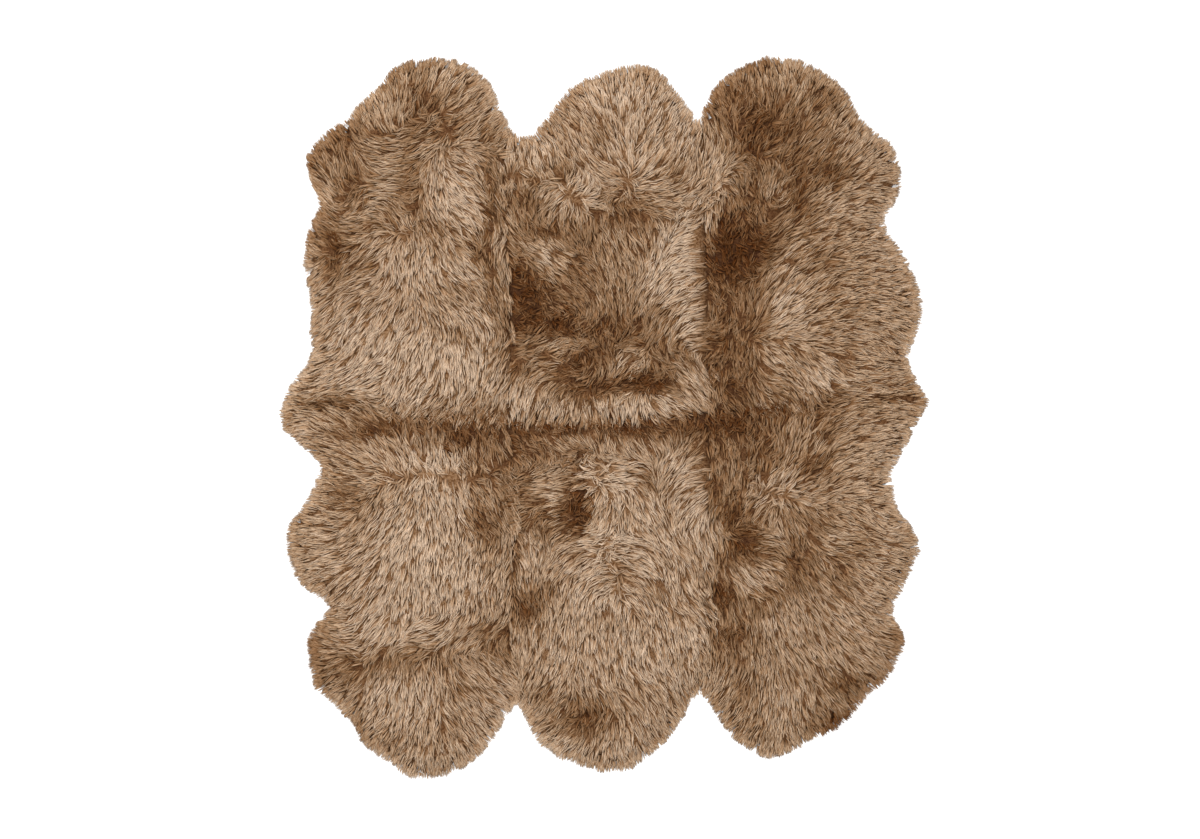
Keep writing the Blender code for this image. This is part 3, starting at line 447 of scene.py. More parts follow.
@dataclass
class Ground:
    """The pelts' upper side, read from the solids onto a square grid.

    Attributes:
        nodes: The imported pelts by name.
        step: The grid's cell.
        margin: How far the grid reaches past the rug.
        rim_blur: How far the rim's own locks are smoothed away.
        lean_reach: How far in from the rim the wool is drawn outwards.
    """

    nodes: dict[str, bpy.types.Object]
    step: float = 0.005
    margin: float = 0.080
    rim_blur: float = 0.008
    lean_reach: float = 0.028

    # How far to the side a look goes, when the one before it fell in a join's gap.
    ASIDES = (0.0, 0.0008, -0.0008)
    # How far the height is smoothed, in cells.
    HEIGHT_BLUR = 1.2

    def __post_init__(self) -> None:
        """Makes the grids of the pelts' height, their cover and the rim's pull."""
        self.names = sorted(self.nodes)
        low, high = CAD_BOX
        self.origin = np.array([low.x - self.margin, low.y - self.margin])
        columns = int((high.x - low.x + 2 * self.margin) / self.step) + 1
        lines = int((high.y - low.y + 2 * self.margin) / self.step) + 1
        self.raw = np.zeros((lines, columns))
        self.pelt = np.full((lines, columns), -1)
        self._cast(high.z + self.margin)
        inside = (self.pelt >= 0).astype(float)
        self.cover = blurred(inside, self.rim_blur / self.step)
        self.height = blurred(self.raw, self.HEIGHT_BLUR)
        wide = blurred(inside, self.lean_reach / self.step)
        slope_y, slope_x = np.gradient(wide, self.step)
        scale = -self.lean_reach * math.sqrt(2 * math.pi)
        self.lean_x = slope_x * scale
        self.lean_y = slope_y * scale

    def _cast(self, above: float) -> None:
        """Looks straight down at each cell and notes the pelt there and its height.

        Args:
            above: The height that the looks start from.
        """
        corners: list[Vector] = []
        sides: list[list[int]] = []
        owner: list[int] = []
        for number, name in enumerate(self.names):
            mesh = self.nodes[name].data
            start = len(corners)
            corners += [v.co.copy() for v in mesh.vertices]
            sides += [[start + i for i in p.vertices] for p in mesh.polygons]
            owner += [number] * len(mesh.polygons)
        tree = BVHTree.FromPolygons(corners, sides)
        down = Vector((0.0, 0.0, -1.0))
        for line in range(self.raw.shape[0]):
            y = self.origin[1] + line * self.step
            for column in range(self.raw.shape[1]):
                x = self.origin[0] + column * self.step
                for aside in self.ASIDES:
                    place, _, side, _ = tree.ray_cast(Vector((x + aside, y + aside, above)), down)
                    if place is not None:
                        self.raw[line, column] = place.z
                        self.pelt[line, column] = owner[side]
                        break

    def read(self, grid: np.ndarray, places: np.ndarray) -> np.ndarray:
        """Reads a grid at places, in straight lines between its cells.

        Args:
            grid: One of this ground's grids.
            places: X and y along the last axis.

        Returns:
            The grid's values at the places.
        """
        lines, columns = grid.shape
        at = (places - self.origin) / self.step
        x = np.clip(at[..., 0], 0, columns - 1.001)
        y = np.clip(at[..., 1], 0, lines - 1.001)
        column = x.astype(int)
        line = y.astype(int)
        x = x - column
        y = y - line
        below = grid[line, column] * (1 - x) + grid[line, column + 1] * x
        above = grid[line + 1, column] * (1 - x) + grid[line + 1, column + 1] * x
        return below * (1 - y) + above * y

    def lean(self, places: np.ndarray) -> np.ndarray:
        """Gives the pull out over the free edge, about 1 long at the rim and 0 well inside."""
        return np.stack([self.read(self.lean_x, places), self.read(self.lean_y, places)], -1)

    def owner(self, places: np.ndarray) -> np.ndarray:
        """Finds the pelt under each place.

        Args:
            places: X and y along the last axis.

        Returns:
            The pelts' numbers, and -1 off the rug.
        """
        lines, columns = self.pelt.shape
        at = np.rint((places - self.origin) / self.step).astype(int)
        return self.pelt[np.clip(at[..., 1], 0, lines - 1), np.clip(at[..., 0], 0, columns - 1)]


@dataclass
class Brushing:
    """The way that one pelt's wool lies, between the strokes of the brush.

    Attributes:
        strokes: The strokes read for this pelt.
        ground: The pelts' upper side.
        reach: How far a stroke's own way carries.
        rim_pull: How much the free edge turns the wool outwards.
    """

    strokes: tuple[Stroke, ...]
    ground: Ground
    reach: float = 0.026
    rim_pull: float = 0.75

    # A stroke's share far beyond its reach.
    FAR_SHARE = 0.002
    # How far apart the wool's ways are compared, and how fast they spread at a clear parting.
    PARTING_STEP = 0.008
    PARTING_SPREAD = 40.0
    # The least distance from a root to the place that its line passes.
    LEAST_BACK = 0.0005

    def __post_init__(self) -> None:
        """Puts the strokes on the rug."""
        self.places = np.array([on_rug(s.across, s.down) for s in self.strokes])
        angles = np.radians([s.heading for s in self.strokes])
        self.ways = np.stack([np.cos(angles), np.sin(angles)], -1)

    def at(self, places: np.ndarray) -> tuple[np.ndarray, np.ndarray]:
        """Works out the way that the wool lies.

        Args:
            places: X and y, one place a row.

        Returns:
            The ways, one long, and how well the strokes near each place agree, 0 to 1.
        """
        away = ((places[:, None] - self.places[None]) ** 2).sum(-1) / self.reach ** 2
        weight = np.exp(-0.5 * away) + self.FAR_SHARE / (1.0 + away) ** 2
        way = (weight @ self.ways) / weight.sum(1, keepdims=True)
        agreement = np.linalg.norm(way, axis=1)
        return unit(unit(way) + self.rim_pull * self.ground.lean(places)), agreement

    def outwards(self, places: np.ndarray) -> np.ndarray:
        """Works out how far the brush itself went out over the free edge.

        Args:
            places: X and y, one place a row.

        Returns:
            A number for each place, 1 straight out and -1 straight in.
        """
        way, _ = self.at(places)
        lean = self.ground.lean(places)
        own = unit(way - self.rim_pull * lean)
        return (own * unit(lean)).sum(-1)

    def parting(self, places: np.ndarray) -> np.ndarray:
        """Works out how far the wool parts.

        Args:
            places: X and y, one place a row.

        Returns:
            A number for each place, 1 at a clear parting and -1 where the wool runs together.
        """
        step = self.PARTING_STEP
        spread = np.zeros(len(places))
        for axis in (0, 1):
            offset = np.zeros(2)
            offset[axis] = step
            ahead, _ = self.at(places + offset)
            behind, _ = self.at(places - offset)
            spread += (ahead - behind)[:, axis] / (2 * step)
        return np.clip(spread / self.PARTING_SPREAD, -1.0, 1.0)

    def lines(
        self, starts: np.ndarray, back: np.ndarray, turn: np.ndarray, steps: int, length: float
    ) -> np.ndarray:
        """Follows the wool from each root.

        Args:
            starts: The places that the lines pass, one a row.
            back: How far behind its place each root is.
            turn: How far each line is turned off the way of the wool, in radians.
            steps: The number of steps along a line.
            length: The whole line's length.

        Returns:
            The lines, as roots by steps + 1 by 2.
        """
        cosine, sine = np.cos(turn), np.sin(turn)
        line = [starts]
        step = (length - back)[:, None] / (steps - 1)
        for _ in range(steps - 1):
            way, _ = self.at(line[-1])
            x = way[:, 0] * cosine - way[:, 1] * sine
            y = way[:, 0] * sine + way[:, 1] * cosine
            line.append(line[-1] + np.stack([x, y], -1) * step)
        behind = starts - unit(line[1] - starts) * np.maximum(back, self.LEAST_BACK)[:, None]
        return np.stack([behind, *line], 1)


@dataclass
class Toning:
    """How pale one pelt's wool is, 0 to 1, from its lighter and darker patches, which are partly the
    wool's own colour and partly painted shade and painted light.
    """

    patches: tuple[Shade, ...]

    MIDDLE = 0.58
    MOTTLE = 0.07
    MOTTLE_SIZE = 0.045
    # How fast a patch fades towards its edge.
    FALL = 0.7

    def at(self, places: np.ndarray) -> np.ndarray:
        """Works out the wool's tone.

        Args:
            places: X and y, one place a row.

        Returns:
            A tone for each place.
        """
        tone = np.full(len(places), self.MIDDLE)
        tone += self.MOTTLE * np.array(
            [noise.noise(Vector((x / self.MOTTLE_SIZE, y / self.MOTTLE_SIZE, 0.0))) for x, y in places]
        )
        for shade in self.patches:
            away = places - on_rug(shade.across, shade.down)
            turn = math.radians(shade.turn)
            along = away[:, 0] * math.cos(turn) + away[:, 1] * math.sin(turn)
            over = away[:, 1] * math.cos(turn) - away[:, 0] * math.sin(turn)
            spread = (along / (shade.wide * PICTURE_STEP)) ** 2
            spread += (over / (shade.tall * PICTURE_STEP)) ** 2
            tone += shade.tone / 100 * np.exp(-self.FALL * spread)
        return np.clip(tone, 0.0, 1.0)


@dataclass
class NodeBench:
    """A material's or a group's shader nodes, added and joined in plain calls."""

    tree: bpy.types.NodeTree

    def add(self, kind: str, **settings: object) -> bpy.types.Node:
        """Adds a node.

        Args:
            kind: The node's type.
            settings: Its own settings by name.

        Returns:
            The node.
        """
        node = self.tree.nodes.new(kind)
        for name, value in settings.items():
            setattr(node, name, value)
        return node

    def join(self, source: bpy.types.NodeSocket, target: bpy.types.NodeSocket) -> None:
        """Runs a link from an output to an input."""
        self.tree.links.new(source, target)

    def feed(self, target: bpy.types.NodeSocket, value: object) -> None:
        """Links a socket to an input, or sets a plain value on it.

        Args:
            target: The input.
            value: A socket or a plain value.
        """
        if isinstance(value, bpy.types.NodeSocket):
            self.join(value, target)
        else:
            target.default_value = value

    def maths(self, operation: str, first: object, second: object = 0.0) -> bpy.types.NodeSocket:
        """Adds one sum.

        Args:
            operation: The sum's kind.
            first: Its first socket or value.
            second: Its second.

        Returns:
            The result's socket.
        """
        node = self.add("ShaderNodeMath", operation=operation)
        self.feed(node.inputs[0], first)
        self.feed(node.inputs[1], second)
        return node.outputs[0]

    def vector(self, x: object, y: object, z: object) -> bpy.types.NodeSocket:
        """Joins three values to a vector.

        Args:
            x: A socket or a value.
            y: The same.
            z: The same.

        Returns:
            The vector's socket.
        """
        node = self.add("ShaderNodeCombineXYZ")
        for target, value in zip(node.inputs, (x, y, z)):
            self.feed(target, value)
        return node.outputs[0]

    def noise(self, place: object, scale: float, detail: float) -> bpy.types.NodeSocket:
        """Adds a noise pattern.

        Args:
            place: The vector that it reads.
            scale: How fine it is.
            detail: How many finer layers it has.

        Returns:
            Its value's socket.
        """
        node = self.add("ShaderNodeTexNoise")
        self.feed(node.inputs["Vector"], place)
        node.inputs["Scale"].default_value = scale
        node.inputs["Detail"].default_value = detail
        return node.outputs["Fac"]

    def ramp(self, value: object, stops: Stops) -> bpy.types.NodeSocket:
        """Turns a value into a colour.

        Args:
            value: The socket to read.
            stops: The colours and their places.

        Returns:
            The colour's socket.
        """
        node = self.add("ShaderNodeValToRGB")
        self.feed(node.inputs["Fac"], value)
        band = node.color_ramp.elements
        while len(band) < len(stops):
            band.new(0.5)
        for element, (place, colour) in zip(band, stops):
            element.position = place
            element.color = (*colour, 1.0)
        return node.outputs["Color"]

    def blend(
        self, share: object, first: object, second: object, way: str = "MIX"
    ) -> bpy.types.NodeSocket:
        """Mixes two colours.

        Args:
            share: The second colour's share.
            first: The first colour.
            second: The second.
            way: How they mix.

        Returns:
            The mixed colour's socket.
        """
        node = self.add("ShaderNodeMix", data_type="RGBA", blend_type=way)
        inputs = {socket.identifier: socket for socket in node.inputs}
        self.feed(inputs["Factor_Float"], share)
        self.feed(inputs["A_Color"], first)
        self.feed(inputs["B_Color"], second)
        return next(socket for socket in node.outputs if socket.identifier == "Result_Color")


def fibre_grain_and_shade() -> bpy.types.ShaderNodeTree:
    """Makes the grain of fine fibres that wool, undercoat, hide and thread share: streaks of the fibres'
    own colour, with painted shade between the fibres.

    Returns:
        The node group. Its Shade is painted shade between fibres, which darkens and warms a colour, and
        its Height is for a bump.
    """
    known = bpy.data.node_groups.get("fibre_grain_and_shade")
    if known:
        return known
    group = bpy.data.node_groups.new("fibre_grain_and_shade", "ShaderNodeTree")
    face = group.interface
    face.new_socket("Place", in_out="INPUT", socket_type="NodeSocketVector")
    face.new_socket("Strength", in_out="INPUT", socket_type="NodeSocketFloat")
    face.new_socket("Shade", in_out="OUTPUT", socket_type="NodeSocketColor")
    face.new_socket("Height", in_out="OUTPUT", socket_type="NodeSocketFloat")
    bench = NodeBench(group)
    given = bench.add("NodeGroupInput")
    made = bench.add("NodeGroupOutput")
    fine = bench.noise(given.outputs["Place"], 1.0, 2.0)
    coarse = bench.noise(given.outputs["Place"], 0.33, 1.0)
    both = bench.maths("ADD", bench.maths("MULTIPLY", fine, 0.5), bench.maths("MULTIPLY", coarse, 0.5))
    spread = bench.add("ShaderNodeMapRange")
    bench.join(both, spread.inputs["Value"])
    spread.inputs["From Min"].default_value = 0.36
    spread.inputs["From Max"].default_value = 0.62
    height = spread.outputs["Result"]
    loss = bench.maths("MULTIPLY", bench.maths("SUBTRACT", 1.0, height), given.outputs["Strength"])
    grey = bench.maths("SUBTRACT", 1.0, loss)
    green = bench.maths("POWER", grey, WARM_PAINTED_SHADE[1])
    blue = bench.maths("POWER", grey, WARM_PAINTED_SHADE[2])
    bench.join(bench.vector(bench.maths("POWER", grey, WARM_PAINTED_SHADE[0]), green, blue), made.inputs["Shade"])
    bench.join(height, made.inputs["Height"])
    return group


def grained_and_shaded(bench: NodeBench, place: bpy.types.NodeSocket, strength: object) -> bpy.types.Node:
    """Puts the shared grain in a material.

    Args:
        bench: The material's nodes.
        place: The vector that the grain follows.
        strength: How dark the painted shade between fibres is, as a socket or a value.

    Returns:
        The grain's node.
    """
    node = bench.add("ShaderNodeGroup", node_tree=fibre_grain_and_shade())
    bench.join(place, node.inputs["Place"])
    bench.feed(node.inputs["Strength"], strength)
    return node


def surfaced(
    name: str, roughness: float, sheen: float, specular: float
) -> tuple[bpy.types.Material, NodeBench, bpy.types.Node]:
    """Makes a material whose shader has its plain values set.

    Args:
        name: The material's name.
        roughness: Its roughness.
        sheen: Its sheen.
        specular: Its shine.

    Returns:
        The material, its bench and its Principled shader.
    """
    material = bpy.data.materials.new(name)
    material.use_nodes = True
    bench = NodeBench(material.node_tree)
    shader = material.node_tree.nodes["Principled BSDF"]
    shader.inputs["Roughness"].default_value = roughness
    shader.inputs["Sheen Weight"].default_value = sheen
    shader.inputs["Sheen Roughness"].default_value = 0.5
    shader.inputs["Specular IOR Level"].default_value = specular
    return material, bench, shader


def raised(
    bench: NodeBench, shader: bpy.types.Node, height: bpy.types.NodeSocket, depth: float, strength: float
) -> None:
    """Gives a shader the bump of a height.

    Args:
        bench: The material's nodes.
        shader: The shader.
        height: The height's socket, 0 to 1.
        depth: The height's real depth.
        strength: How much of it shows.
    """
    bump = bench.add("ShaderNodeBump")
    bump.inputs["Distance"].default_value = depth
    bump.inputs["Strength"].default_value = strength
    bench.join(height, bump.inputs["Height"])
    bench.join(bump.outputs["Normal"], shader.inputs["Normal"])


@dataclass(frozen=True)
class WoolFinish:
    """Strands of wool, brown at the root and paler to the tip, partly their own colour and partly painted
    shade deep in the pile, on their sides and on the strands underneath.

    A strand's UV map places it in one cell of a board: its column is the tone
    of its tip, its row one of a few runs of grain, and it runs up the cell.

    Attributes:
        tones: The board's columns.
        runs: The board's rows.
        roughness: The wool's roughness.
        sheen: Its sheen.
        specular: Its shine.
        fibres: How fine the grain is across a strand.
        waves: How fine it is along a strand.
        top_grain: How dark the grain, with its painted shade between fibres, is on the top strands and
            the fringe.
        under_grain: How dark it is on the strands under them.
        under_shade: The painted shade on the strands under them, as what is left of their colour.
        relief: The grain's depth.
    """

    tones: int = 12
    runs: int = 4
    roughness: float = 0.75
    sheen: float = 0.0
    specular: float = 0.0
    fibres: float = 12.0
    waves: float = 2.0
    top_grain: float = 0.42
    under_grain: float = 0.68
    under_shade: tuple[float, float, float] = (0.77, 0.72, 0.67)
    relief: float = 0.0007

    # From the darkest wool to the palest.
    TIPS = (
        (0.00, (0.158, 0.068, 0.026)),
        (0.25, (0.308, 0.177, 0.092)),
        (0.50, (0.484, 0.339, 0.222)),
        (0.75, (0.658, 0.510, 0.386)),
        (1.00, (0.800, 0.666, 0.550)),
    )
    # Painted shade on a strand's sides: what is left of the colour from the middle of a strand to its
    # sides.
    PAINTED_SIDE_SHADE = (
        (0.20, (1.00, 1.00, 1.00)),
        (0.70, (0.80, 0.69, 0.58)),
    )
    # What is left of the tip's colour from the root up: the root's brown is partly the wool's own colour
    # and partly painted shade deep in the pile.
    LENGTHWAYS = (
        (0.00, (0.46, 0.36, 0.27)),
        (0.26, (0.80, 0.74, 0.67)),
        (0.55, (0.97, 0.96, 0.94)),
        (1.00, (1.00, 1.00, 1.00)),
    )

    def material(self) -> bpy.types.Material:
        """Makes the material.

        Returns:
            The material.
        """
        material, bench, shader = surfaced("wool", self.roughness, self.sheen, self.specular)
        laid = bench.add("ShaderNodeUVMap", uv_map=WOOL_MAP)
        split = bench.add("ShaderNodeSeparateXYZ")
        bench.join(laid.outputs["UV"], split.inputs[0])
        column = bench.maths("MULTIPLY", split.outputs["X"], self.tones)
        row = bench.maths("MULTIPLY", split.outputs["Y"], self.runs)
        whole = bench.maths("FLOOR", column)
        tone = bench.maths("DIVIDE", whole, self.tones - 1)
        over = bench.maths("FRACT", column)
        along = bench.maths("FRACT", row)
        run = bench.maths("FLOOR", row)
        place = bench.vector(
            bench.maths("MULTIPLY", over, self.fibres),
            bench.maths("MULTIPLY", along, self.waves),
            bench.maths("ADD", bench.maths("MULTIPLY", whole, 3.7), bench.maths("MULTIPLY", run, 11.3)),
        )
        under = bench.maths("GREATER_THAN", run, UNDER_RUNS[0] - 0.5)
        strength = bench.maths("MULTIPLY", under, self.under_grain - self.top_grain)
        grain = grained_and_shaded(bench, place, bench.maths("ADD", strength, self.top_grain))
        tip = bench.ramp(tone, self.TIPS)
        # The root's brown, partly painted shade deep in the pile.
        colour_and_shade = bench.blend(1.0, tip, bench.ramp(along, self.LENGTHWAYS), "MULTIPLY")
        # Painted shade on each strand's sides.
        aside = bench.maths("MULTIPLY", bench.maths("ABSOLUTE", bench.maths("SUBTRACT", over, 0.5)), 2.0)
        colour_and_shade = bench.blend(1.0, colour_and_shade, bench.ramp(aside, self.PAINTED_SIDE_SHADE), "MULTIPLY")
        # Painted shade on the strands under the top ones.
        shaded_under = bench.blend(1.0, colour_and_shade, (*self.under_shade, 1.0), "MULTIPLY")
        colour_and_shade = bench.blend(under, colour_and_shade, shaded_under)
        colour = bench.blend(1.0, colour_and_shade, grain.outputs["Shade"], "MULTIPLY")
        bench.join(colour, shader.inputs["Base Color"])
        raised(bench, shader, grain.outputs["Height"], self.relief, 0.5)
        return material


@dataclass(frozen=True)
class MattedFinish:
    """The dense brown wool close to the skin, which is paler where the locks over it are. It takes their
    tone, painted shade and light included, and its dark end is partly painted shade between the locks.
    """

    roughness: float = 0.9
    sheen: float = 0.0
    specular: float = 0.1
    clump_scale: float = 110.0
    clump_share: float = 0.5
    fibre_scale: float = 420.0
    grain: float = 0.8
    relief: float = 0.002

    COLOURS = (
        (0.10, (0.070, 0.029, 0.011)),
        (0.55, (0.160, 0.080, 0.036)),
        (0.95, (0.260, 0.155, 0.084)),
    )

    def material(self) -> bpy.types.Material:
        """Makes the material.

        Returns:
            The material.
        """
        material, bench, shader = surfaced("undercoat", self.roughness, self.sheen, self.specular)
        place = bench.add("ShaderNodeTexCoord").outputs["Object"]
        clumps = bench.noise(place, self.clump_scale, 4.0)
        paleness = bench.add("ShaderNodeAttribute", attribute_name=TONE_MARK).outputs["Fac"]
        swing = bench.maths("MULTIPLY", bench.maths("SUBTRACT", clumps, 0.5), self.clump_share)
        tone = bench.maths("ADD", paleness, swing)
        stretch = bench.add("ShaderNodeMapping")
        stretch.inputs["Scale"].default_value = (self.fibre_scale,) * 3
        bench.join(place, stretch.inputs["Vector"])
        grain = grained_and_shaded(bench, stretch.outputs["Vector"], self.grain)
        colour = bench.blend(1.0, bench.ramp(tone, self.COLOURS), grain.outputs["Shade"], "MULTIPLY")
        bench.join(colour, shader.inputs["Base Color"])
        raised(bench, shader, grain.outputs["Height"], self.relief, 0.8)
        return material


@dataclass(frozen=True)
class SuedeFinish:
    """The tanned flesh side of the hide, with a short nap and cloudy tan."""

    roughness: float = 0.88
    sheen: float = 0.35
    specular: float = 0.2
    cloud_scale: float = 7.0
    nap_scale: float = 600.0
    grain: float = 0.35
    relief: float = 0.0004

    COLOURS = (
        (0.30, (0.455, 0.330, 0.215)),
        (0.50, (0.550, 0.420, 0.290)),
        (0.70, (0.630, 0.500, 0.365)),
    )

    def material(self) -> bpy.types.Material:
        """Makes the material.

        Returns:
            The material.
        """
        material, bench, shader = surfaced("suede", self.roughness, self.sheen, self.specular)
        place = bench.add("ShaderNodeTexCoord").outputs["Object"]
        clouds = bench.noise(place, self.cloud_scale, 5.0)
        spread = bench.add("ShaderNodeMapping")
        spread.inputs["Scale"].default_value = (self.nap_scale,) * 3
        bench.join(place, spread.inputs["Vector"])
        grain = grained_and_shaded(bench, spread.outputs["Vector"], self.grain)
        colour = bench.blend(1.0, bench.ramp(clouds, self.COLOURS), grain.outputs["Shade"], "MULTIPLY")
        bench.join(colour, shader.inputs["Base Color"])
        rough = bench.maths("ADD", bench.maths("MULTIPLY", clouds, 0.12), self.roughness - 0.06)
        bench.join(rough, shader.inputs["Roughness"])
        raised(bench, shader, grain.outputs["Height"], self.relief, 0.6)
        return material


@dataclass(frozen=True)
class ThreadFinish:
    """Waxed furrier's thread, twisted from two plies."""

    colour: tuple[float, float, float] = (0.610, 0.520, 0.400)
    roughness: float = 0.55
    sheen: float = 0.1
    specular: float = 0.4
    twist: float = 35.0
    twist_scale: float = 900.0
    grain: float = 0.4
    relief: float = 0.0002

    def material(self) -> bpy.types.Material:
        """Makes the material.

        Returns:
            The material.
        """
        material, bench, shader = surfaced("thread", self.roughness, self.sheen, self.specular)
        place = bench.add("ShaderNodeTexCoord").outputs["Object"]
        turn = bench.add("ShaderNodeMapping")
        turn.inputs["Rotation"].default_value = (0.0, 0.0, math.radians(self.twist))
        turn.inputs["Scale"].default_value = (self.twist_scale,) * 3
        bench.join(place, turn.inputs["Vector"])
        grain = grained_and_shaded(bench, turn.outputs["Vector"], self.grain)
        colour = bench.blend(1.0, (*self.colour, 1.0), grain.outputs["Shade"], "MULTIPLY")
        bench.join(colour, shader.inputs["Base Color"])
        raised(bench, shader, grain.outputs["Height"], self.relief, 0.6)
        return material


@dataclass(frozen=True)
class FloorFinish:
    """A plain, nearly white floor."""

    colour: tuple[float, float, float] = (0.90, 0.90, 0.90)
    roughness: float = 0.8

    def material(self) -> bpy.types.Material:
        """Makes the material.

        Returns:
            The material.
        """
        material, _, shader = surfaced("floor", self.roughness, 0.0, 0.1)
        shader.inputs["Base Color"].default_value = (*self.colour, 1.0)
        return material


@dataclass(frozen=True)
class Strand:
    """One kind of strand: a closed sliver of three sides, pointed at both ends.

    Attributes:
        rings: Its width between root and tip, as shares of the widest.
        stations: Where those rings are, as shares of its length.
        wide: Half its widest width.
        thick: Half its thickness there.
        lift: How far over its lock's middle it lies.
        count: How many a lock has.
        shortest: The least share of the lock's length.
        longest: The most.
        slide: How far along its lock it may begin, as a share of the lock's length.
        runs: The first of its runs on the wool's board, and the one after its last.
        ends: The ground's cover at which it may end outside the rim, the furthest out first.
    """

    rings: tuple[float, ...]
    stations: tuple[float, ...]
    wide: float
    thick: float
    lift: float
    count: int
    shortest: float
    longest: float
    slide: float
    runs: tuple[int, int]
    ends: tuple[float, float]

    SIDES = 3

    def template(self) -> tuple[np.ndarray, np.ndarray]:
        """Makes the sliver once, one long, around its own middle line.

        Returns:
            Its corners as across, over and along, and its triangles.
        """
        shape = bmesh.new()
        bmesh.ops.create_cone(
            shape, segments=self.SIDES, radius1=1.0, radius2=1.0, depth=1.0, cap_ends=True, cap_tris=False
        )
        bmesh.ops.translate(shape, verts=shape.verts, vec=(0.0, 0.0, 0.5))
        caps = [f for f in shape.faces if abs(f.normal.z) > 0.9]
        ends = bmesh.ops.poke(shape, faces=caps)["verts"]
        low, high = self.stations[0], self.stations[-1]
        for vert in shape.verts:
            if vert not in ends:
                vert.co.z = low + vert.co.z * (high - low)
        for station in self.stations[1:-1]:
            bmesh.ops.bisect_plane(
                shape, geom=shape.verts[:] + shape.edges[:] + shape.faces[:],
                plane_co=(0.0, 0.0, station), plane_no=(0.0, 0.0, 1.0),
            )
        widths = dict(zip(self.stations, self.rings))
        for vert in shape.verts:
            nearest = min(self.stations, key=lambda s: abs(s - vert.co.z))
            width = 0.0 if vert in ends else widths[nearest]
            vert.co.x *= width
            vert.co.y *= width
        bmesh.ops.triangulate(shape, faces=shape.faces[:])
        bmesh.ops.recalc_face_normals(shape, faces=shape.faces[:])
        shape.verts.index_update()
        corners = np.array([v.co[:] for v in shape.verts])
        sides = np.array([[v.index for v in f.verts] for f in shape.faces])
        shape.free()
        return corners, sides


TOP_STRAND = Strand(
    rings=(1.00, 0.82), stations=(0.26, 0.68), wide=0.00115, thick=0.0009, lift=0.0011,
    count=5, shortest=0.50, longest=0.92, slide=0.32, runs=TOP_RUNS, ends=(0.015, 0.12),
)
UNDER_STRAND = Strand(
    rings=(1.00, 0.82), stations=(0.12, 0.68), wide=0.0044, thick=0.0009, lift=-0.0014,
    count=2, shortest=0.62, longest=0.90, slide=0.08, runs=UNDER_RUNS, ends=(0.15, 0.36),
)
FRINGE_STRAND = Strand(
    rings=(1.00, 0.80), stations=(0.30, 0.68), wide=0.0009, thick=0.0007, lift=0.0002,
    count=5, shortest=0.80, longest=1.10, slide=0.12, runs=TOP_RUNS, ends=(0.003, 0.06),
)


class Locks(NamedTuple):
    """The locks of one pelt, one a row.

    Lines are their middle lines. Tone is how pale they are, loose how open, lift how far they
    lie over the rest, and wave, phase and beat are their waves' height, start and length. Rim
    is the pull of the free edge, and held is 1 where the brush went straight in from it.
    """

    lines: np.ndarray
    tone: np.ndarray
    loose: np.ndarray
    lift: np.ndarray
    wave: np.ndarray
    phase: np.ndarray
    beat: np.ndarray
    rim: np.ndarray
    held: np.ndarray


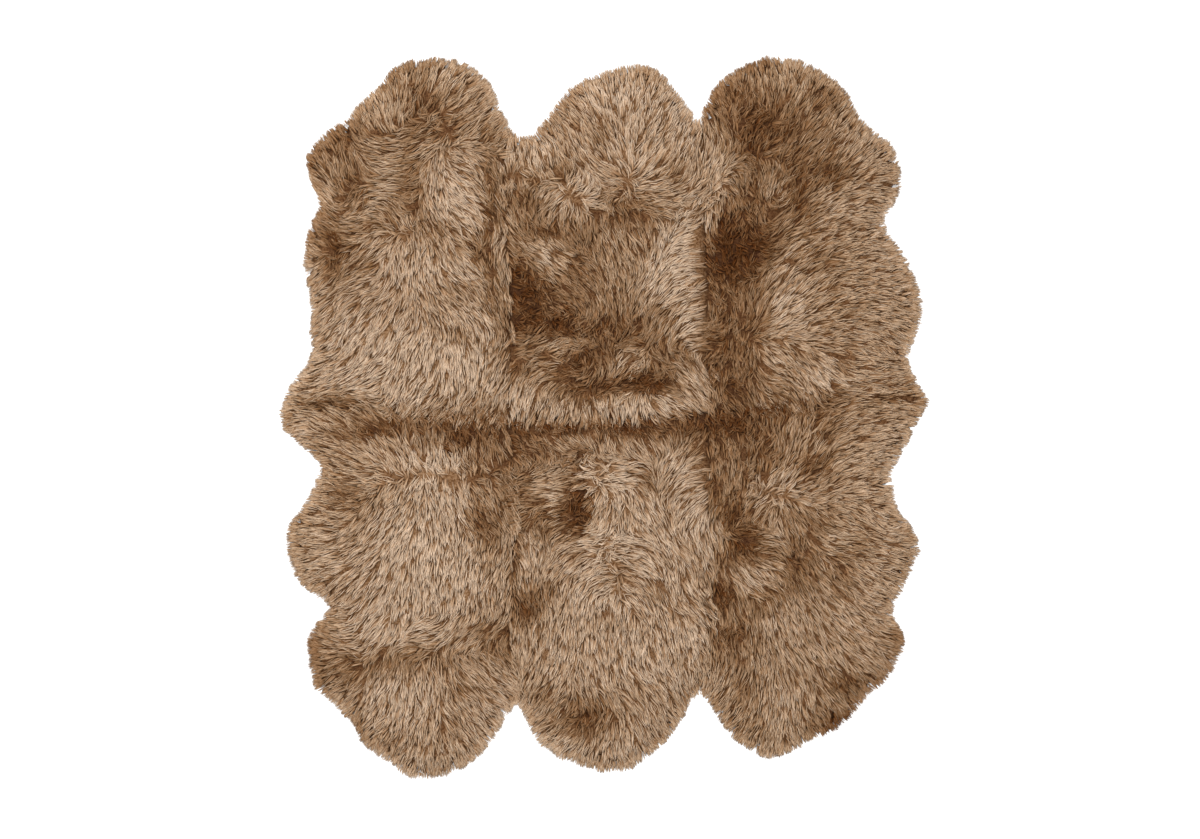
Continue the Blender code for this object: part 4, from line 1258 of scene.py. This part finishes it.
@dataclass
class Fleece:
    """The long wool of one pelt.

    Attributes:
        node: The CAD node that it stands for.
        number: The pelt's number on the ground.
        ground: The pelts' upper side.
        toning: How pale the wool is.
        finish: The wool's finish, whose board the UV map follows.
        pitch: How far apart the locks are.
        rim_pitch: How far apart the locks along the free edge are.
        stub: The least share of its lock's length that a strand keeps.
        thinned: The share of the locks that is left out where the wool runs together.
        length: A lock's length.
        steps: The steps that a lock's middle line is followed in.
        set_back: How far behind its place a lock may start, so that no parting is left bare.
        spread: How far a strand's root is from its lock's middle.
        gather: How far the strands have come together at the tip.
        root_depth: How deep a root is in the undercoat.
        crown: How far a lock arches over the solid's face.
        floor_gap: The least height of a strand's middle.
        floor_touch: The least height of its underside.
        fringe_from: The pull of the rim from which a lock has strands of the fringe too.
        hold: How much sooner a strand ends at the rim where the brush went inwards, in cover.
        rim_shade: How much darker the wool is painted where it bends down at the rim, for the shade it
            falls in there.
        turns: How far a lock is turned off the wool's way, and how much more a loose one is.
        lifts: The least and the most that a lock lies over the rest.
        waves: The least and the greatest height of its waves.
        beats: Their least and greatest length.
        full_depth: The depth of wool from which a strand's rise is whole.
        loose_rise: How far the tip of a loose lock stands up.
        widths: The least and the greatest of a strand's own widths, as shares of its kind's.
    """

    node: str
    number: int
    ground: Ground
    toning: Toning
    finish: WoolFinish
    pitch: float = 0.0177
    rim_pitch: float = 0.0130
    stub: float = 0.20
    thinned: float = 0.45
    length: float = 0.056
    steps: int = 12
    set_back: float = 0.016
    spread: float = 0.0066
    gather: float = 0.50
    root_depth: float = 0.0055
    crown: float = 0.0013
    floor_gap: float = 0.0017
    floor_touch: float = 0.0003
    fringe_from: float = 0.64
    hold: float = 0.26
    rim_shade: float = 0.07
    turns: tuple[float, float] = (0.13, 0.55)
    lifts: tuple[float, float] = (-0.0007, 0.0018)
    waves: tuple[float, float] = (0.0018, 0.0042)
    beats: tuple[float, float] = (0.030, 0.054)
    full_depth: float = 0.030
    loose_rise: float = 0.007
    widths: tuple[float, float] = (0.78, 1.22)

    # From root to tip, how much of its rise a strand has, and how deep it is buried.
    RISE = ((0.0, 0.22, 0.50, 0.78, 1.0), (0.0, 0.55, 1.0, 0.85, 0.45))
    BURIED = ((0.0, 0.22, 0.50), (1.0, 0.30, 0.0))
    # The ground's cover that a root needs, and the band of it that the rim's own roots stand in.
    ROOT_COVER = 0.58
    RIM_BAND = (0.60, 0.90)
    # How close the rows are, and how uneven a root's place is, in pitches.
    ROW_SHARE = 0.95
    UNEVEN = 0.42
    # How much locks, and the strands of one lock, differ in tone.
    LOCK_TONES = 0.028
    STRAND_TONES = 0.07
    # How much of its cell on the board a strand takes up, across it and along it.
    CELL_HALF = 0.36
    CELL_LENGTH = 0.88

    def __post_init__(self) -> None:
        """Reads the pelt's brushing and readies the draws that make its wool uneven."""
        self.brushing = Brushing(BRUSHED[self.node], self.ground)
        self.dice = np.random.default_rng(self.number + 11)

    def scatter(self) -> np.ndarray:
        """Places the locks' roots in uneven rows.

        The roots are closer along the free edge and where the wool parts, and
        further apart where it runs together.

        Returns:
            The roots, one a row.
        """
        places = self._on_pelt()
        together = -self.brushing.parting(places)
        kept = self.dice.uniform(0.0, 1.0, len(places)) > self.thinned * np.clip(together, 0.0, 1.0)
        extra = self._on_pelt()
        apart = self.brushing.parting(extra)
        wanted = self.dice.uniform(0.0, 1.0, len(extra)) < apart
        return np.concatenate([places[kept], extra[wanted], self._along_rim()])

    def _rows(self, pitch: float) -> np.ndarray:
        """Places points in uneven staggered rows over the pelt's box.

        Args:
            pitch: The distance from point to point.

        Returns:
            The points, one a row.
        """
        low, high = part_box(self.node)
        rows = np.arange(low.y, high.y, pitch * self.ROW_SHARE)
        x, y = np.meshgrid(np.arange(low.x, high.x, pitch), rows)
        x[1::2] += pitch / 2
        places = np.stack([x.ravel(), y.ravel()], -1)
        return places + self.dice.uniform(-self.UNEVEN, self.UNEVEN, places.shape) * pitch

    def _on_pelt(self) -> np.ndarray:
        """Places roots all over this pelt.

        Returns:
            The roots, one a row.
        """
        places = self._rows(self.pitch)
        cover = self.ground.read(self.ground.cover, places)
        return places[(self.ground.owner(places) == self.number) & (cover > self.ROOT_COVER)]

    def _along_rim(self) -> np.ndarray:
        """Places roots just inside this pelt's free edge.

        Returns:
            The roots, one a row.
        """
        places = self._rows(self.rim_pitch)
        cover = self.ground.read(self.ground.cover, places)
        least, most = self.RIM_BAND
        return places[(self.ground.owner(places) == self.number) & (cover > least) & (cover < most)]

    def comb(self) -> Locks:
        """Lays each lock down the way that the wool runs.

        Returns:
            The locks' middle lines and their own small differences.
        """
        dice = self.dice
        roots = self.scatter()
        count = len(roots)
        _, agreement = self.brushing.at(roots)
        tone = self.toning.at(roots)
        rim = np.linalg.norm(self.ground.lean(roots), axis=1)
        open_wool = np.clip((0.45 - tone) / 0.40, 0.0, 1.0)
        loose = np.clip(np.maximum(open_wool, 1.0 - agreement * 1.15) * (1.0 - rim), 0.0, 1.0)
        turn = dice.normal(0.0, 1.0, count) * (self.turns[0] + self.turns[1] * loose)
        back = dice.uniform(0.0, self.set_back, count) * np.clip(1.0 - 1.4 * rim, 0.0, 1.0)
        lines = self.brushing.lines(roots, back, turn, self.steps, self.length)
        calm = np.clip(1.0 - rim, 0.25, 1.0)
        return Locks(
            lines=lines,
            # Painted shade on the wool that bends down at the rim.
            tone=tone - self.rim_shade * rim + dice.normal(0.0, self.LOCK_TONES, count),
            loose=loose,
            lift=dice.uniform(*self.lifts, count) * calm,
            wave=dice.uniform(*self.waves, count) * (0.7 + 0.8 * loose) * calm,
            phase=dice.uniform(0.0, 2 * math.pi, count),
            beat=dice.uniform(*self.beats, count),
            rim=rim,
            held=0.5 - 0.5 * self.brushing.outwards(roots),
        )

    def strands(self, kind: Strand, locks: Locks) -> tuple[np.ndarray, np.ndarray, np.ndarray]:
        """Makes all of one kind of strand.

        Args:
            kind: The kind of strand.
            locks: The pelt's locks.

        Returns:
            The corners, the triangles and each corner's place on the UV map.
        """
        chosen = np.arange(len(locks.tone))
        if kind is FRINGE_STRAND:
            chosen = np.flatnonzero(locks.rim > self.fringe_from)
        which = np.repeat(chosen, kind.count)
        away = np.clip(self.dice.normal(0.0, 1.0, (len(which), 2)), -1.7, 1.7) * self.spread
        share = self.dice.uniform(kind.shortest, kind.longest, len(which))
        share = share * (1.0 - 0.30 * locks.loose[which])
        start = self.dice.uniform(0.0, kind.slide, len(which))
        limit = self._limits(kind, locks, which, away)
        good = limit - start > self.stub
        which, away, start = which[good], away[good], start[good]
        share = np.minimum(share[good], limit[good] - start)
        path, way = self._paths(kind, locks, which, away, start, share)
        return self._slivers(kind, locks, which, path, way)

    def _follow(
        self, locks: Locks, which: np.ndarray, away: np.ndarray, share: np.ndarray
    ) -> np.ndarray:
        """Follows strands along their locks, seen from above.

        Args:
            locks: The pelt's locks.
            which: Each strand's lock.
            away: How far each strand's root is from its lock's middle.
            share: How far along its lock each point of a strand is.

        Returns:
            X and y of each strand's points.
        """
        at = np.clip(share, 0.0, 0.999) * self.steps
        step = at.astype(int)
        part = (at - step)[..., None]
        lines = locks.lines
        middle = lines[which[:, None], step] * (1 - part) + lines[which[:, None], step + 1] * part
        return middle + away[:, None] * self._drawn(share, locks.rim[which])[..., None]

    def _drawn(self, share: np.ndarray, rim: np.ndarray) -> np.ndarray:
        """Gives what is left of a strand's distance from its lock's middle, from root to tip.

        Args:
            share: How far along its lock each point is.
            rim: The pull of the rim on each strand, where locks spread instead of drawing together.

        Returns:
            A share for each point, 1 for the whole distance.
        """
        gather = self.gather * np.clip(1.0 - 1.6 * rim, -0.3, 1.0)
        return 1.0 - gather[:, None] * np.power(np.clip(share, 0.0, 1.0), 0.8)

    def _limits(
        self, kind: Strand, locks: Locks, which: np.ndarray, away: np.ndarray
    ) -> np.ndarray:
        """Finds where each strand passes the rim.

        Args:
            kind: The kind of strand.
            locks: The pelt's locks.
            which: Each strand's lock.
            away: How far each strand's root is from its lock's middle.

        Returns:
            A share of its lock's length for each strand, and 2 where it stays inside.
        """
        shares = np.broadcast_to(np.linspace(0.0, 1.0, self.steps + 1), (len(which), self.steps + 1))
        places = self._follow(locks, which, away, shares)
        cover = self.ground.read(self.ground.cover, places)
        edge = self.dice.uniform(*kind.ends, (len(which), 1)) + self.hold * locks.held[which][:, None]
        out = cover < edge
        first = np.argmax(out, axis=1)
        leaves = out.any(axis=1)
        rows = np.arange(len(which))
        before = cover[rows, np.maximum(first - 1, 0)]
        after = cover[rows, first]
        part = (before - edge[:, 0]) / np.maximum(before - after, 1e-6)
        return np.where(leaves, (first - 1 + np.clip(part, 0.0, 1.0)) / self.steps, 2.0)

    def _paths(
        self,
        kind: Strand,
        locks: Locks,
        which: np.ndarray,
        away: np.ndarray,
        start: np.ndarray,
        share: np.ndarray,
    ) -> tuple[np.ndarray, np.ndarray]:
        """Lays the strands' middle lines over the ground.

        Args:
            kind: The kind of strand.
            locks: The pelt's locks.
            which: Each strand's lock.
            away: How far each strand's root is from its lock's middle.
            start: How far along its lock each strand begins.
            share: The share of its lock that it is long.

        Returns:
            The middle line's points, root, rings and tip, and the way that it runs at each.
        """
        marks = np.array([0.0, *kind.stations, 1.0])
        shares = start[:, None] + share[:, None] * marks
        flat = self._follow(locks, which, away, shares)
        way = unit(np.gradient(flat, axis=1))
        side = np.stack([-way[..., 1], way[..., 0]], -1)
        beat = 2 * math.pi * shares * self.length / locks.beat[which][:, None]
        phase = locks.phase[which] + self.dice.normal(0.0, 0.45, len(which))
        swing = np.sin(beat + phase[:, None]) * np.minimum(1.0, 1.6 * marks)
        flat = flat + side * (swing * locks.wave[which][:, None])[..., None]
        height = self.ground.read(self.ground.height, flat)
        arch = np.interp(marks, *self.RISE)
        bury = np.interp(marks, *self.BURIED)
        thin = np.clip(height / self.full_depth, 0.12, 1.0)
        own = locks.lift[which] + kind.lift + self.dice.normal(0.0, 0.0007, len(which))
        rise = (self.crown + own)[:, None] * arch * thin
        rise += (self.loose_rise * locks.loose[which])[:, None] * (marks - 0.35) * thin
        rise -= self.root_depth * bury * thin
        height = np.maximum(height + rise, self.floor_gap)
        path = np.concatenate([flat, height[..., None]], -1)
        return path, unit(np.gradient(path, axis=1))

    def _slivers(
        self,
        kind: Strand,
        locks: Locks,
        which: np.ndarray,
        path: np.ndarray,
        way: np.ndarray,
    ) -> tuple[np.ndarray, np.ndarray, np.ndarray]:
        """Wraps the template sliver round each middle line.

        Args:
            kind: The kind of strand.
            locks: The pelt's locks.
            which: Each strand's lock.
            path: The middle lines' points.
            way: The way that each line runs there.

        Returns:
            The corners, the triangles and each corner's place on the UV map.
        """
        corners, sides = kind.template()
        marks = np.array([0.0, *kind.stations, 1.0])
        ring = np.abs(corners[:, 2][:, None] - marks[None]).argmin(1)
        along = marks[ring]
        across = unit(np.cross(np.array([0.0, 0.0, 1.0]), way))
        over = np.cross(way, across)
        roll = self.dice.normal(0.0, 0.35, len(path))[:, None, None]
        across, over = (
            across * np.cos(roll) + over * np.sin(roll),
            over * np.cos(roll) - across * np.sin(roll),
        )
        size = self.dice.uniform(*self.widths, len(path))[:, None, None]
        points = path[:, ring]
        points = points + across[:, ring] * (corners[None, :, 0:1] * kind.wide * size)
        points = points + over[:, ring] * (corners[None, :, 1:2] * kind.thick * size)
        points[..., 2] = np.maximum(points[..., 2], self.floor_touch)
        starts = np.arange(len(path)) * len(corners)
        triangles = (sides[None] + starts[:, None, None]).reshape(-1, 3)
        tone = locks.tone[which] + self.dice.normal(0.0, self.STRAND_TONES, len(path))
        last = self.finish.tones - 1
        column = np.clip(np.rint(tone * last), 0, last)
        run = self.dice.integers(*kind.runs, len(path))
        margin = (1.0 - self.CELL_LENGTH) / 2
        u = (column[:, None] + 0.5 + self.CELL_HALF * corners[None, :, 0]) / self.finish.tones
        v = (run[:, None] + margin + self.CELL_LENGTH * along[None]) / self.finish.runs
        return points.reshape(-1, 3), triangles, np.stack([u, v], -1).reshape(-1, 2)

    def build(self) -> bpy.types.Object:
        """Makes the pelt's wool as one piece, without its material.

        Returns:
            The piece.
        """
        locks = self.comb()
        corners, triangles, marks = [], [], []
        start = 0
        for kind in (UNDER_STRAND, TOP_STRAND, FRINGE_STRAND):
            points, sides, places = self.strands(kind, locks)
            corners.append(points)
            triangles.append(sides + start)
            marks.append(places)
            start += len(points)
        name = self.node.replace("pelt", "wool")
        joined = [np.concatenate(part) for part in (corners, triangles, marks)]
        return joined_piece(name, *joined)

    def dress(self, piece: bpy.types.Object, material: bpy.types.Material) -> None:
        """Gives the wool its material and its body, and hides the pelt that it stands for.

        Args:
            piece: The wool.
            material: Its material.
        """
        piece.data.materials.append(material)
        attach(piece, BODY)
        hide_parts(self.node)


def joined_piece(
    name: str, corners: np.ndarray, triangles: np.ndarray, marks: np.ndarray
) -> bpy.types.Object:
    """Joins many small shapes in one mesh.

    Args:
        name: The piece's name.
        corners: The corners, one a row.
        triangles: Three corners' numbers a row.
        marks: Each corner's place on the UV map.

    Returns:
        The piece, in the scene.
    """
    mesh = bpy.data.meshes.new(name)
    mesh.vertices.add(len(corners))
    mesh.vertices.foreach_set("co", corners.astype(np.float32).ravel())
    mesh.loops.add(triangles.size)
    mesh.loops.foreach_set("vertex_index", triangles.astype(np.int32).ravel())
    mesh.polygons.add(len(triangles))
    mesh.polygons.foreach_set("loop_start", np.arange(0, triangles.size, 3, dtype=np.int32))
    mesh.polygons.foreach_set("use_smooth", np.ones(len(triangles), dtype=bool))
    layer = mesh.uv_layers.new(name=WOOL_MAP)
    layer.uv.foreach_set("vector", marks[triangles.ravel()].astype(np.float32).ravel())
    mesh.update(calc_edges=True)
    mesh.validate()
    return placed(name, mesh)


def placed(name: str, mesh: bpy.types.Mesh) -> bpy.types.Object:
    """Puts a mesh in the scene as a piece, at the origin.

    Args:
        name: The piece's name.
        mesh: Its mesh.

    Returns:
        The piece.
    """
    piece = bpy.data.objects.new(name, mesh)
    bpy.context.scene.collection.objects.link(piece)
    return piece


@dataclass
class Undercoat:
    """The dense wool under one pelt's locks, as a lower and slightly smaller copy of the solid.

    Attributes:
        node: The CAD node.
        drop: How far its face is under the solid's.
        draw_in: How far its free edge is inside the solid's.
        hide_top: The height of the hide that it grows on.
        least: The least thickness.
        rough: How far its face is roughened.
        bumps: How many bumps a metre has.
    """

    node: str
    drop: float = 0.0036
    draw_in: float = 0.009
    hide_top: float = 0.0024
    least: float = 0.0012
    rough: float = 0.0010
    bumps: float = 90.0

    def build(self, source: bpy.types.Object, ground: Ground, toning: Toning) -> bpy.types.Object:
        """Makes the undercoat from the solid's own form.

        Args:
            source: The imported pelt.
            ground: The pelts' upper side.
            toning: How pale the wool is.

        Returns:
            The piece.
        """
        shape = bmesh.new()
        shape.from_mesh(source.data)
        bmesh.ops.remove_doubles(shape, verts=shape.verts, dist=WELD)
        places = np.array([v.co.xy[:] for v in shape.verts])
        lean = ground.lean(places)
        for vert, pull in zip(shape.verts, lean):
            vert.co.x -= pull[0] * self.draw_in
            vert.co.y -= pull[1] * self.draw_in
            if vert.co.z > ON_FLOOR:
                lowered = max(vert.co.z - self.drop, self.hide_top + self.least + 0.25 * vert.co.z)
                vert.co.z = lowered + self.rough * noise.noise(vert.co * self.bumps)
            else:
                vert.co.z = self.hide_top
        name = self.node.replace("pelt", "undercoat")
        mesh = bpy.data.meshes.new(name)
        shape.to_mesh(mesh)
        shape.free()
        mesh.shade_smooth()
        mark = mesh.attributes.new(TONE_MARK, "FLOAT", "POINT")
        mark.data.foreach_set("value", toning.at(places).astype(np.float32))
        return placed(name, mesh)

    def dress(self, piece: bpy.types.Object, material: bpy.types.Material) -> None:
        """Gives the undercoat its material and its body, and hides the pelt that it stands for.

        Args:
            piece: The undercoat.
            material: Its material.
        """
        piece.data.materials.append(material)
        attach(piece, BODY)
        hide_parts(self.node)


@dataclass
class Hide:
    """One pelt's tanned hide, flat on the floor under its wool.

    Attributes:
        node: The CAD node.
        bottom: The height of its underside, which leaves room for the stitches.
        thick: Its thickness.
        inset: How far its free edge is inside the wool's.
        step: The distance between the points of its outline.
        soften: How many points each way the outline is smoothed over.
    """

    node: str
    bottom: float = 0.0006
    thick: float = 0.0018
    inset: float = 0.022
    step: float = 0.010
    soften: int = 2

    # The ground's cover along a join, and how much less of it there is at the free edge.
    JOIN_COVER = 0.985
    FREE_COVER = 0.35
    # The way that its corners and triangles are counted in.
    ORDER = Vector((1.0, 7.0, 50.0))

    def outline(self, source: bpy.types.Object, ground: Ground) -> np.ndarray:
        """Works out the hide's outline from the solid's underside.

        Args:
            source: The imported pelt.
            ground: The pelts' upper side.

        Returns:
            The outline's points in order, x and y a row.
        """
        loop = underside_loop(source)
        corners = sharp_corners(loop) & (ground.read(ground.cover, loop) > self.JOIN_COVER)
        rim = even_loop(loop, self.step, corners)
        free = np.clip((self.JOIN_COVER - ground.read(ground.cover, rim)) / self.FREE_COVER, 0.0, 1.0)
        soft = sum(np.roll(rim, shift, axis=0) for shift in range(-self.soften, self.soften + 1))
        soft /= 2 * self.soften + 1
        rim = rim * (1 - free[:, None]) + soft * free[:, None]
        outwards = unit(ground.lean(rim))
        cut = rim - outwards * (self.inset * free)[:, None]
        for _ in range(len(rim)):
            forward = np.roll(rim, -1, axis=0) - rim
            backward = ((np.roll(cut, -1, axis=0) - cut) * forward).sum(1) <= 0.0
            if not backward.any():
                break
            kept = ~np.roll(backward, 1)
            rim, cut, free = rim[kept], cut[kept], free[kept]
        return cut

    def build(self, source: bpy.types.Object, ground: Ground) -> bpy.types.Object:
        """Makes the hide as a flat sheet with its real thickness.

        Args:
            source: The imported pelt.
            ground: The pelts' upper side.

        Returns:
            The piece.
        """
        shape = bmesh.new()
        verts = [shape.verts.new((x, y, self.bottom)) for x, y in self.outline(source, ground)]
        bottom = shape.faces.new(verts)
        raised_part = bmesh.ops.extrude_face_region(shape, geom=[bottom])["geom"]
        tops = [g for g in raised_part if isinstance(g, bmesh.types.BMVert)]
        bmesh.ops.translate(shape, verts=tops, vec=(0.0, 0.0, self.thick))
        bmesh.ops.triangulate(shape, faces=shape.faces[:])
        bmesh.ops.recalc_face_normals(shape, faces=shape.faces[:])
        shape.verts.sort(key=lambda v: v.co.dot(self.ORDER))
        shape.faces.sort(key=lambda f: f.calc_center_median().dot(self.ORDER))
        name = self.node.replace("pelt", "hide")
        mesh = bpy.data.meshes.new(name)
        shape.to_mesh(mesh)
        shape.free()
        return placed(name, mesh)

    def dress(self, piece: bpy.types.Object, material: bpy.types.Material) -> None:
        """Gives the hide its material and body.

        Args:
            piece: The hide.
            material: Its material.
        """
        piece.data.materials.append(material)
        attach(piece, BODY)


def underside_loop(source: bpy.types.Object) -> np.ndarray:
    """Walks round the flat underside of a solid.

    Args:
        source: A packed pelt, whose mesh is loose triangles.

    Returns:
        The underside's outline in order, x and y a row.
    """
    shape = bmesh.new()
    shape.from_mesh(source.data)
    bmesh.ops.remove_doubles(shape, verts=shape.verts, dist=WELD)
    flat = {f for f in shape.faces if f.normal.z < -0.99 and f.calc_center_median().z < ON_FLOOR}
    rim = {e for e in shape.edges if sum(f in flat for f in e.link_faces) == 1}
    edge = next(iter(sorted(rim, key=lambda e: e.index)))
    start = vert = edge.verts[0]
    loop = []
    while True:
        loop.append(vert.co.xy[:])
        vert = edge.other_vert(vert)
        if vert == start:
            break
        edge = next(e for e in vert.link_edges if e in rim and e != edge)
    shape.free()
    return np.array(loop)


def sharp_corners(loop: np.ndarray) -> np.ndarray:
    """Finds the points of a closed line that turn by more than about 50 degrees.

    Args:
        loop: The line's points, x and y a row.

    Returns:
        True or false for each point.
    """
    before = unit(loop - np.roll(loop, 1, axis=0))
    after = unit(np.roll(loop, -1, axis=0) - loop)
    return (before * after).sum(1) < 0.64


def even_loop(
    loop: np.ndarray, step: float, corners: np.ndarray | None = None
) -> np.ndarray:
    """Places points at even steps round a closed line.

    Args:
        loop: The line's points, x and y a row.
        step: The distance from point to point.
        corners: Which of the line's own points are placed as well.

    Returns:
        The new points in order.
    """
    closed = np.concatenate([loop, loop[:1]])
    run = np.concatenate([[0.0], np.cumsum(np.linalg.norm(np.diff(closed, axis=0), axis=1))])
    count = int(run[-1] / step)
    marks = np.linspace(0.0, run[-1], count, endpoint=False)
    if corners is not None:
        marks = np.union1d(marks, run[:-1][corners])
    return np.stack([np.interp(marks, run, closed[:, i]) for i in (0, 1)], -1)


@dataclass
class Stitching:
    """The furrier's overcast stitches that join the hides, on their underside.

    Attributes:
        pitch: The distance from stitch to stitch.
        reach: A stitch's length across the join.
        slant: How far it leans along the join.
        thread: Half the thread's thickness.
        dip: How far its ends go up into the hide.
        height: The height of its middle.
        look: How far to each side of a join its pelts are looked for.
        join_cover: The ground's cover along a join, away from the free edge.
    """

    pitch: float = 0.0105
    reach: float = 0.0078
    slant: float = 0.0046
    thread: float = 0.00042
    dip: float = 0.0009
    height: float = 0.00058
    look: float = 0.012
    join_cover: float = 0.995

    def places(self, nodes: dict[str, bpy.types.Object], ground: Ground) -> np.ndarray:
        """Finds the stitches' middles and the ways that their joins run.

        Args:
            nodes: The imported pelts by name.
            ground: The pelts' upper side.

        Returns:
            X, y and the join's way a row.
        """
        found = []
        for name in ground.names:
            number = ground.names.index(name)
            rim = even_loop(underside_loop(nodes[name]), self.pitch)
            way = unit(np.roll(rim, -1, axis=0) - np.roll(rim, 1, axis=0))
            for place, run in zip(rim, way):
                side = np.array([run[1], -run[0]]) * self.look
                other = {int(ground.owner(place + side * sign)) for sign in (-1, 1)} - {number}
                inside = ground.read(ground.cover, place) > self.join_cover
                if inside and other and min(other) > number:
                    found.append((*place, *run))
        return np.array(found)

    def build(self, nodes: dict[str, bpy.types.Object], ground: Ground) -> bpy.types.Object:
        """Makes all the stitches as one piece.

        Args:
            nodes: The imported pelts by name.
            ground: The pelts' upper side.

        Returns:
            The piece.
        """
        stitch = bmesh.new()
        bmesh.ops.create_cone(stitch, segments=4, radius1=1.0, radius2=1.0, depth=1.0, cap_ends=True)
        long_edges = [e for e in stitch.edges if abs(e.verts[0].co.z - e.verts[1].co.z) > 0.5]
        bmesh.ops.subdivide_edges(stitch, edges=long_edges, cuts=2)
        bmesh.ops.triangulate(stitch, faces=stitch.faces[:])
        stitch.verts.index_update()
        corners = np.array([v.co[:] for v in stitch.verts])
        sides = np.array([[v.index for v in f.verts] for f in stitch.faces])
        stitch.free()
        spots = self.places(nodes, ground)
        run = spots[:, 2:4]
        over = np.stack([run[:, 1], -run[:, 0]], -1)
        way = unit(over * self.reach + run * self.slant)
        flank = np.stack([-way[:, 1], way[:, 0]], -1)
        along = corners[None, :, 2:3]
        flat = spots[:, None, 0:2] + way[:, None] * (along * math.hypot(self.reach, self.slant))
        flat = flat + flank[:, None] * (corners[None, :, 0:1] * self.thread)
        bow = self.height + self.dip * (2 * corners[:, 2]) ** 2 - corners[:, 1] * self.thread
        height = np.broadcast_to(bow[None, :, None], (len(spots), len(corners), 1))
        points = np.concatenate([flat, height], -1).reshape(-1, 3)
        starts = np.arange(len(spots)) * len(corners)
        triangles = (sides[None] + starts[:, None, None]).reshape(-1, 3)
        return joined_piece("stitching", points, triangles, np.zeros((len(points), 2)))

    def dress(self, piece: bpy.types.Object, material: bpy.types.Material) -> None:
        """Gives the stitches their material and body.

        Args:
            piece: The stitches.
            material: Their material.
        """
        piece.data.uv_layers.remove(piece.data.uv_layers[0])
        piece.data.materials.append(material)
        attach(piece, BODY)


class Lamp(NamedTuple):
    """One soft square light: its place, its width and its power in watts."""

    place: tuple[float, float, float]
    size: float
    power: float


@dataclass
class Studio:
    """The floor, the soft lights and the camera straight above the rug.

    Attributes:
        floor_size: The floor's width and length.
        camera_height: The camera's height over the wool.
        wool_height: The height of the wool that the picture's scale is taken at.
        sensor: The camera sensor's width in millimetres.
        sky: The strength of the light from all round.
        key: The light from the rug's top left.
        fill: The weaker one across from it.
    """

    floor_size: float = 9.0
    camera_height: float = 6.0
    wool_height: float = 0.045
    sensor: float = 36.0
    sky: float = 0.97
    key: Lamp = Lamp((-3.2, 3.5, 8.2), 3.6, 790.0)
    fill: Lamp = Lamp((5.2, -3.2, 7.2), 5.2, 200.0)

    # How far the floor is under the rug.
    FLOOR_GAP = 0.0002

    def floor(self) -> bpy.types.Object:
        """Makes the floor just under the rug.

        Returns:
            The floor.
        """
        shape = bmesh.new()
        bmesh.ops.create_grid(shape, x_segments=1, y_segments=1, size=self.floor_size / 2)
        bmesh.ops.translate(shape, verts=shape.verts, vec=(0.0, 0.0, -self.FLOOR_GAP))
        mesh = bpy.data.meshes.new("floor")
        shape.to_mesh(mesh)
        shape.free()
        mesh.materials.append(FloorFinish().material())
        floor = placed("floor", mesh)
        return floor

    def light(self, name: str, lamp: Lamp) -> None:
        """Hangs one soft square light, turned to the middle of the rug.

        Args:
            name: The light's name.
            lamp: Its place, size and power.
        """
        light = bpy.data.lights.new(name, "AREA")
        light.shape = "SQUARE"
        light.size = lamp.size
        light.energy = lamp.power
        holder = bpy.data.objects.new(name, light)
        holder.location = lamp.place
        holder.rotation_mode = "QUATERNION"
        holder.rotation_quaternion = (-Vector(lamp.place)).to_track_quat("-Z", "Y")
        bpy.context.scene.collection.objects.link(holder)

    def lights(self) -> None:
        """Lights the rug softly from all round, and a little more from its top left."""
        world = bpy.data.worlds.new("studio")
        world.use_nodes = True
        backdrop = world.node_tree.nodes["Background"]
        backdrop.inputs["Color"].default_value = (1.0, 1.0, 1.0, 1.0)
        backdrop.inputs["Strength"].default_value = self.sky
        bpy.context.scene.world = world
        self.light("key", self.key)
        self.light("fill", self.fill)

    def camera(self) -> None:
        """Sets the camera over the picture's middle, looking straight down."""
        x, y = on_rug(PICTURE_WIDTH / 2, PICTURE_HEIGHT / 2)
        lens = bpy.data.cameras.new("camera")
        lens.sensor_width = self.sensor
        lens.lens = self.sensor * self.camera_height / (PICTURE_WIDTH * PICTURE_STEP)
        holder = bpy.data.objects.new("camera", lens)
        holder.location = (x, y, self.wool_height + self.camera_height)
        bpy.context.scene.collection.objects.link(holder)
        bpy.context.scene.camera = holder

    def build(self) -> None:
        """Sets up the floor, lights and camera."""
        self.floor()
        self.lights()
        self.camera()
        bpy.context.scene.view_settings.view_transform = "Standard"
        bpy.context.scene.view_settings.look = "None"


def report(piece: bpy.types.Object) -> None:
    """Logs a finished piece and its number of faces."""
    log.info("%s: %d faces", piece.name, len(piece.data.polygons))


def main() -> None:
    """Builds the rug's wool, undercoats, hides and stitches, and the studio round them."""
    logging.basicConfig(level=logging.INFO, format="%(name)s: %(message)s")
    nodes = frame["nodes"]
    ground = Ground(nodes)
    wool_finish = WoolFinish()
    wool = wool_finish.material()
    matted = MattedFinish().material()
    suede = SuedeFinish().material()
    thread = ThreadFinish().material()
    for number, name in enumerate(ground.names):
        toning = Toning(SHADES[name])
        fleece = Fleece(name, number, ground, toning, wool_finish)
        locks = fleece.build()
        fleece.dress(locks, wool)
        report(locks)
        coat = Undercoat(name)
        mat = coat.build(nodes[name], ground, toning)
        coat.dress(mat, matted)
        report(mat)
        hide = Hide(name)
        skin = hide.build(nodes[name], ground)
        hide.dress(skin, suede)
        report(skin)
    stitching = Stitching()
    stitches = stitching.build(nodes, ground)
    stitching.dress(stitches, thread)
    report(stitches)
    Studio().build()
    bpy.context.view_layer.update()


if __name__ == "__main__":
    main()
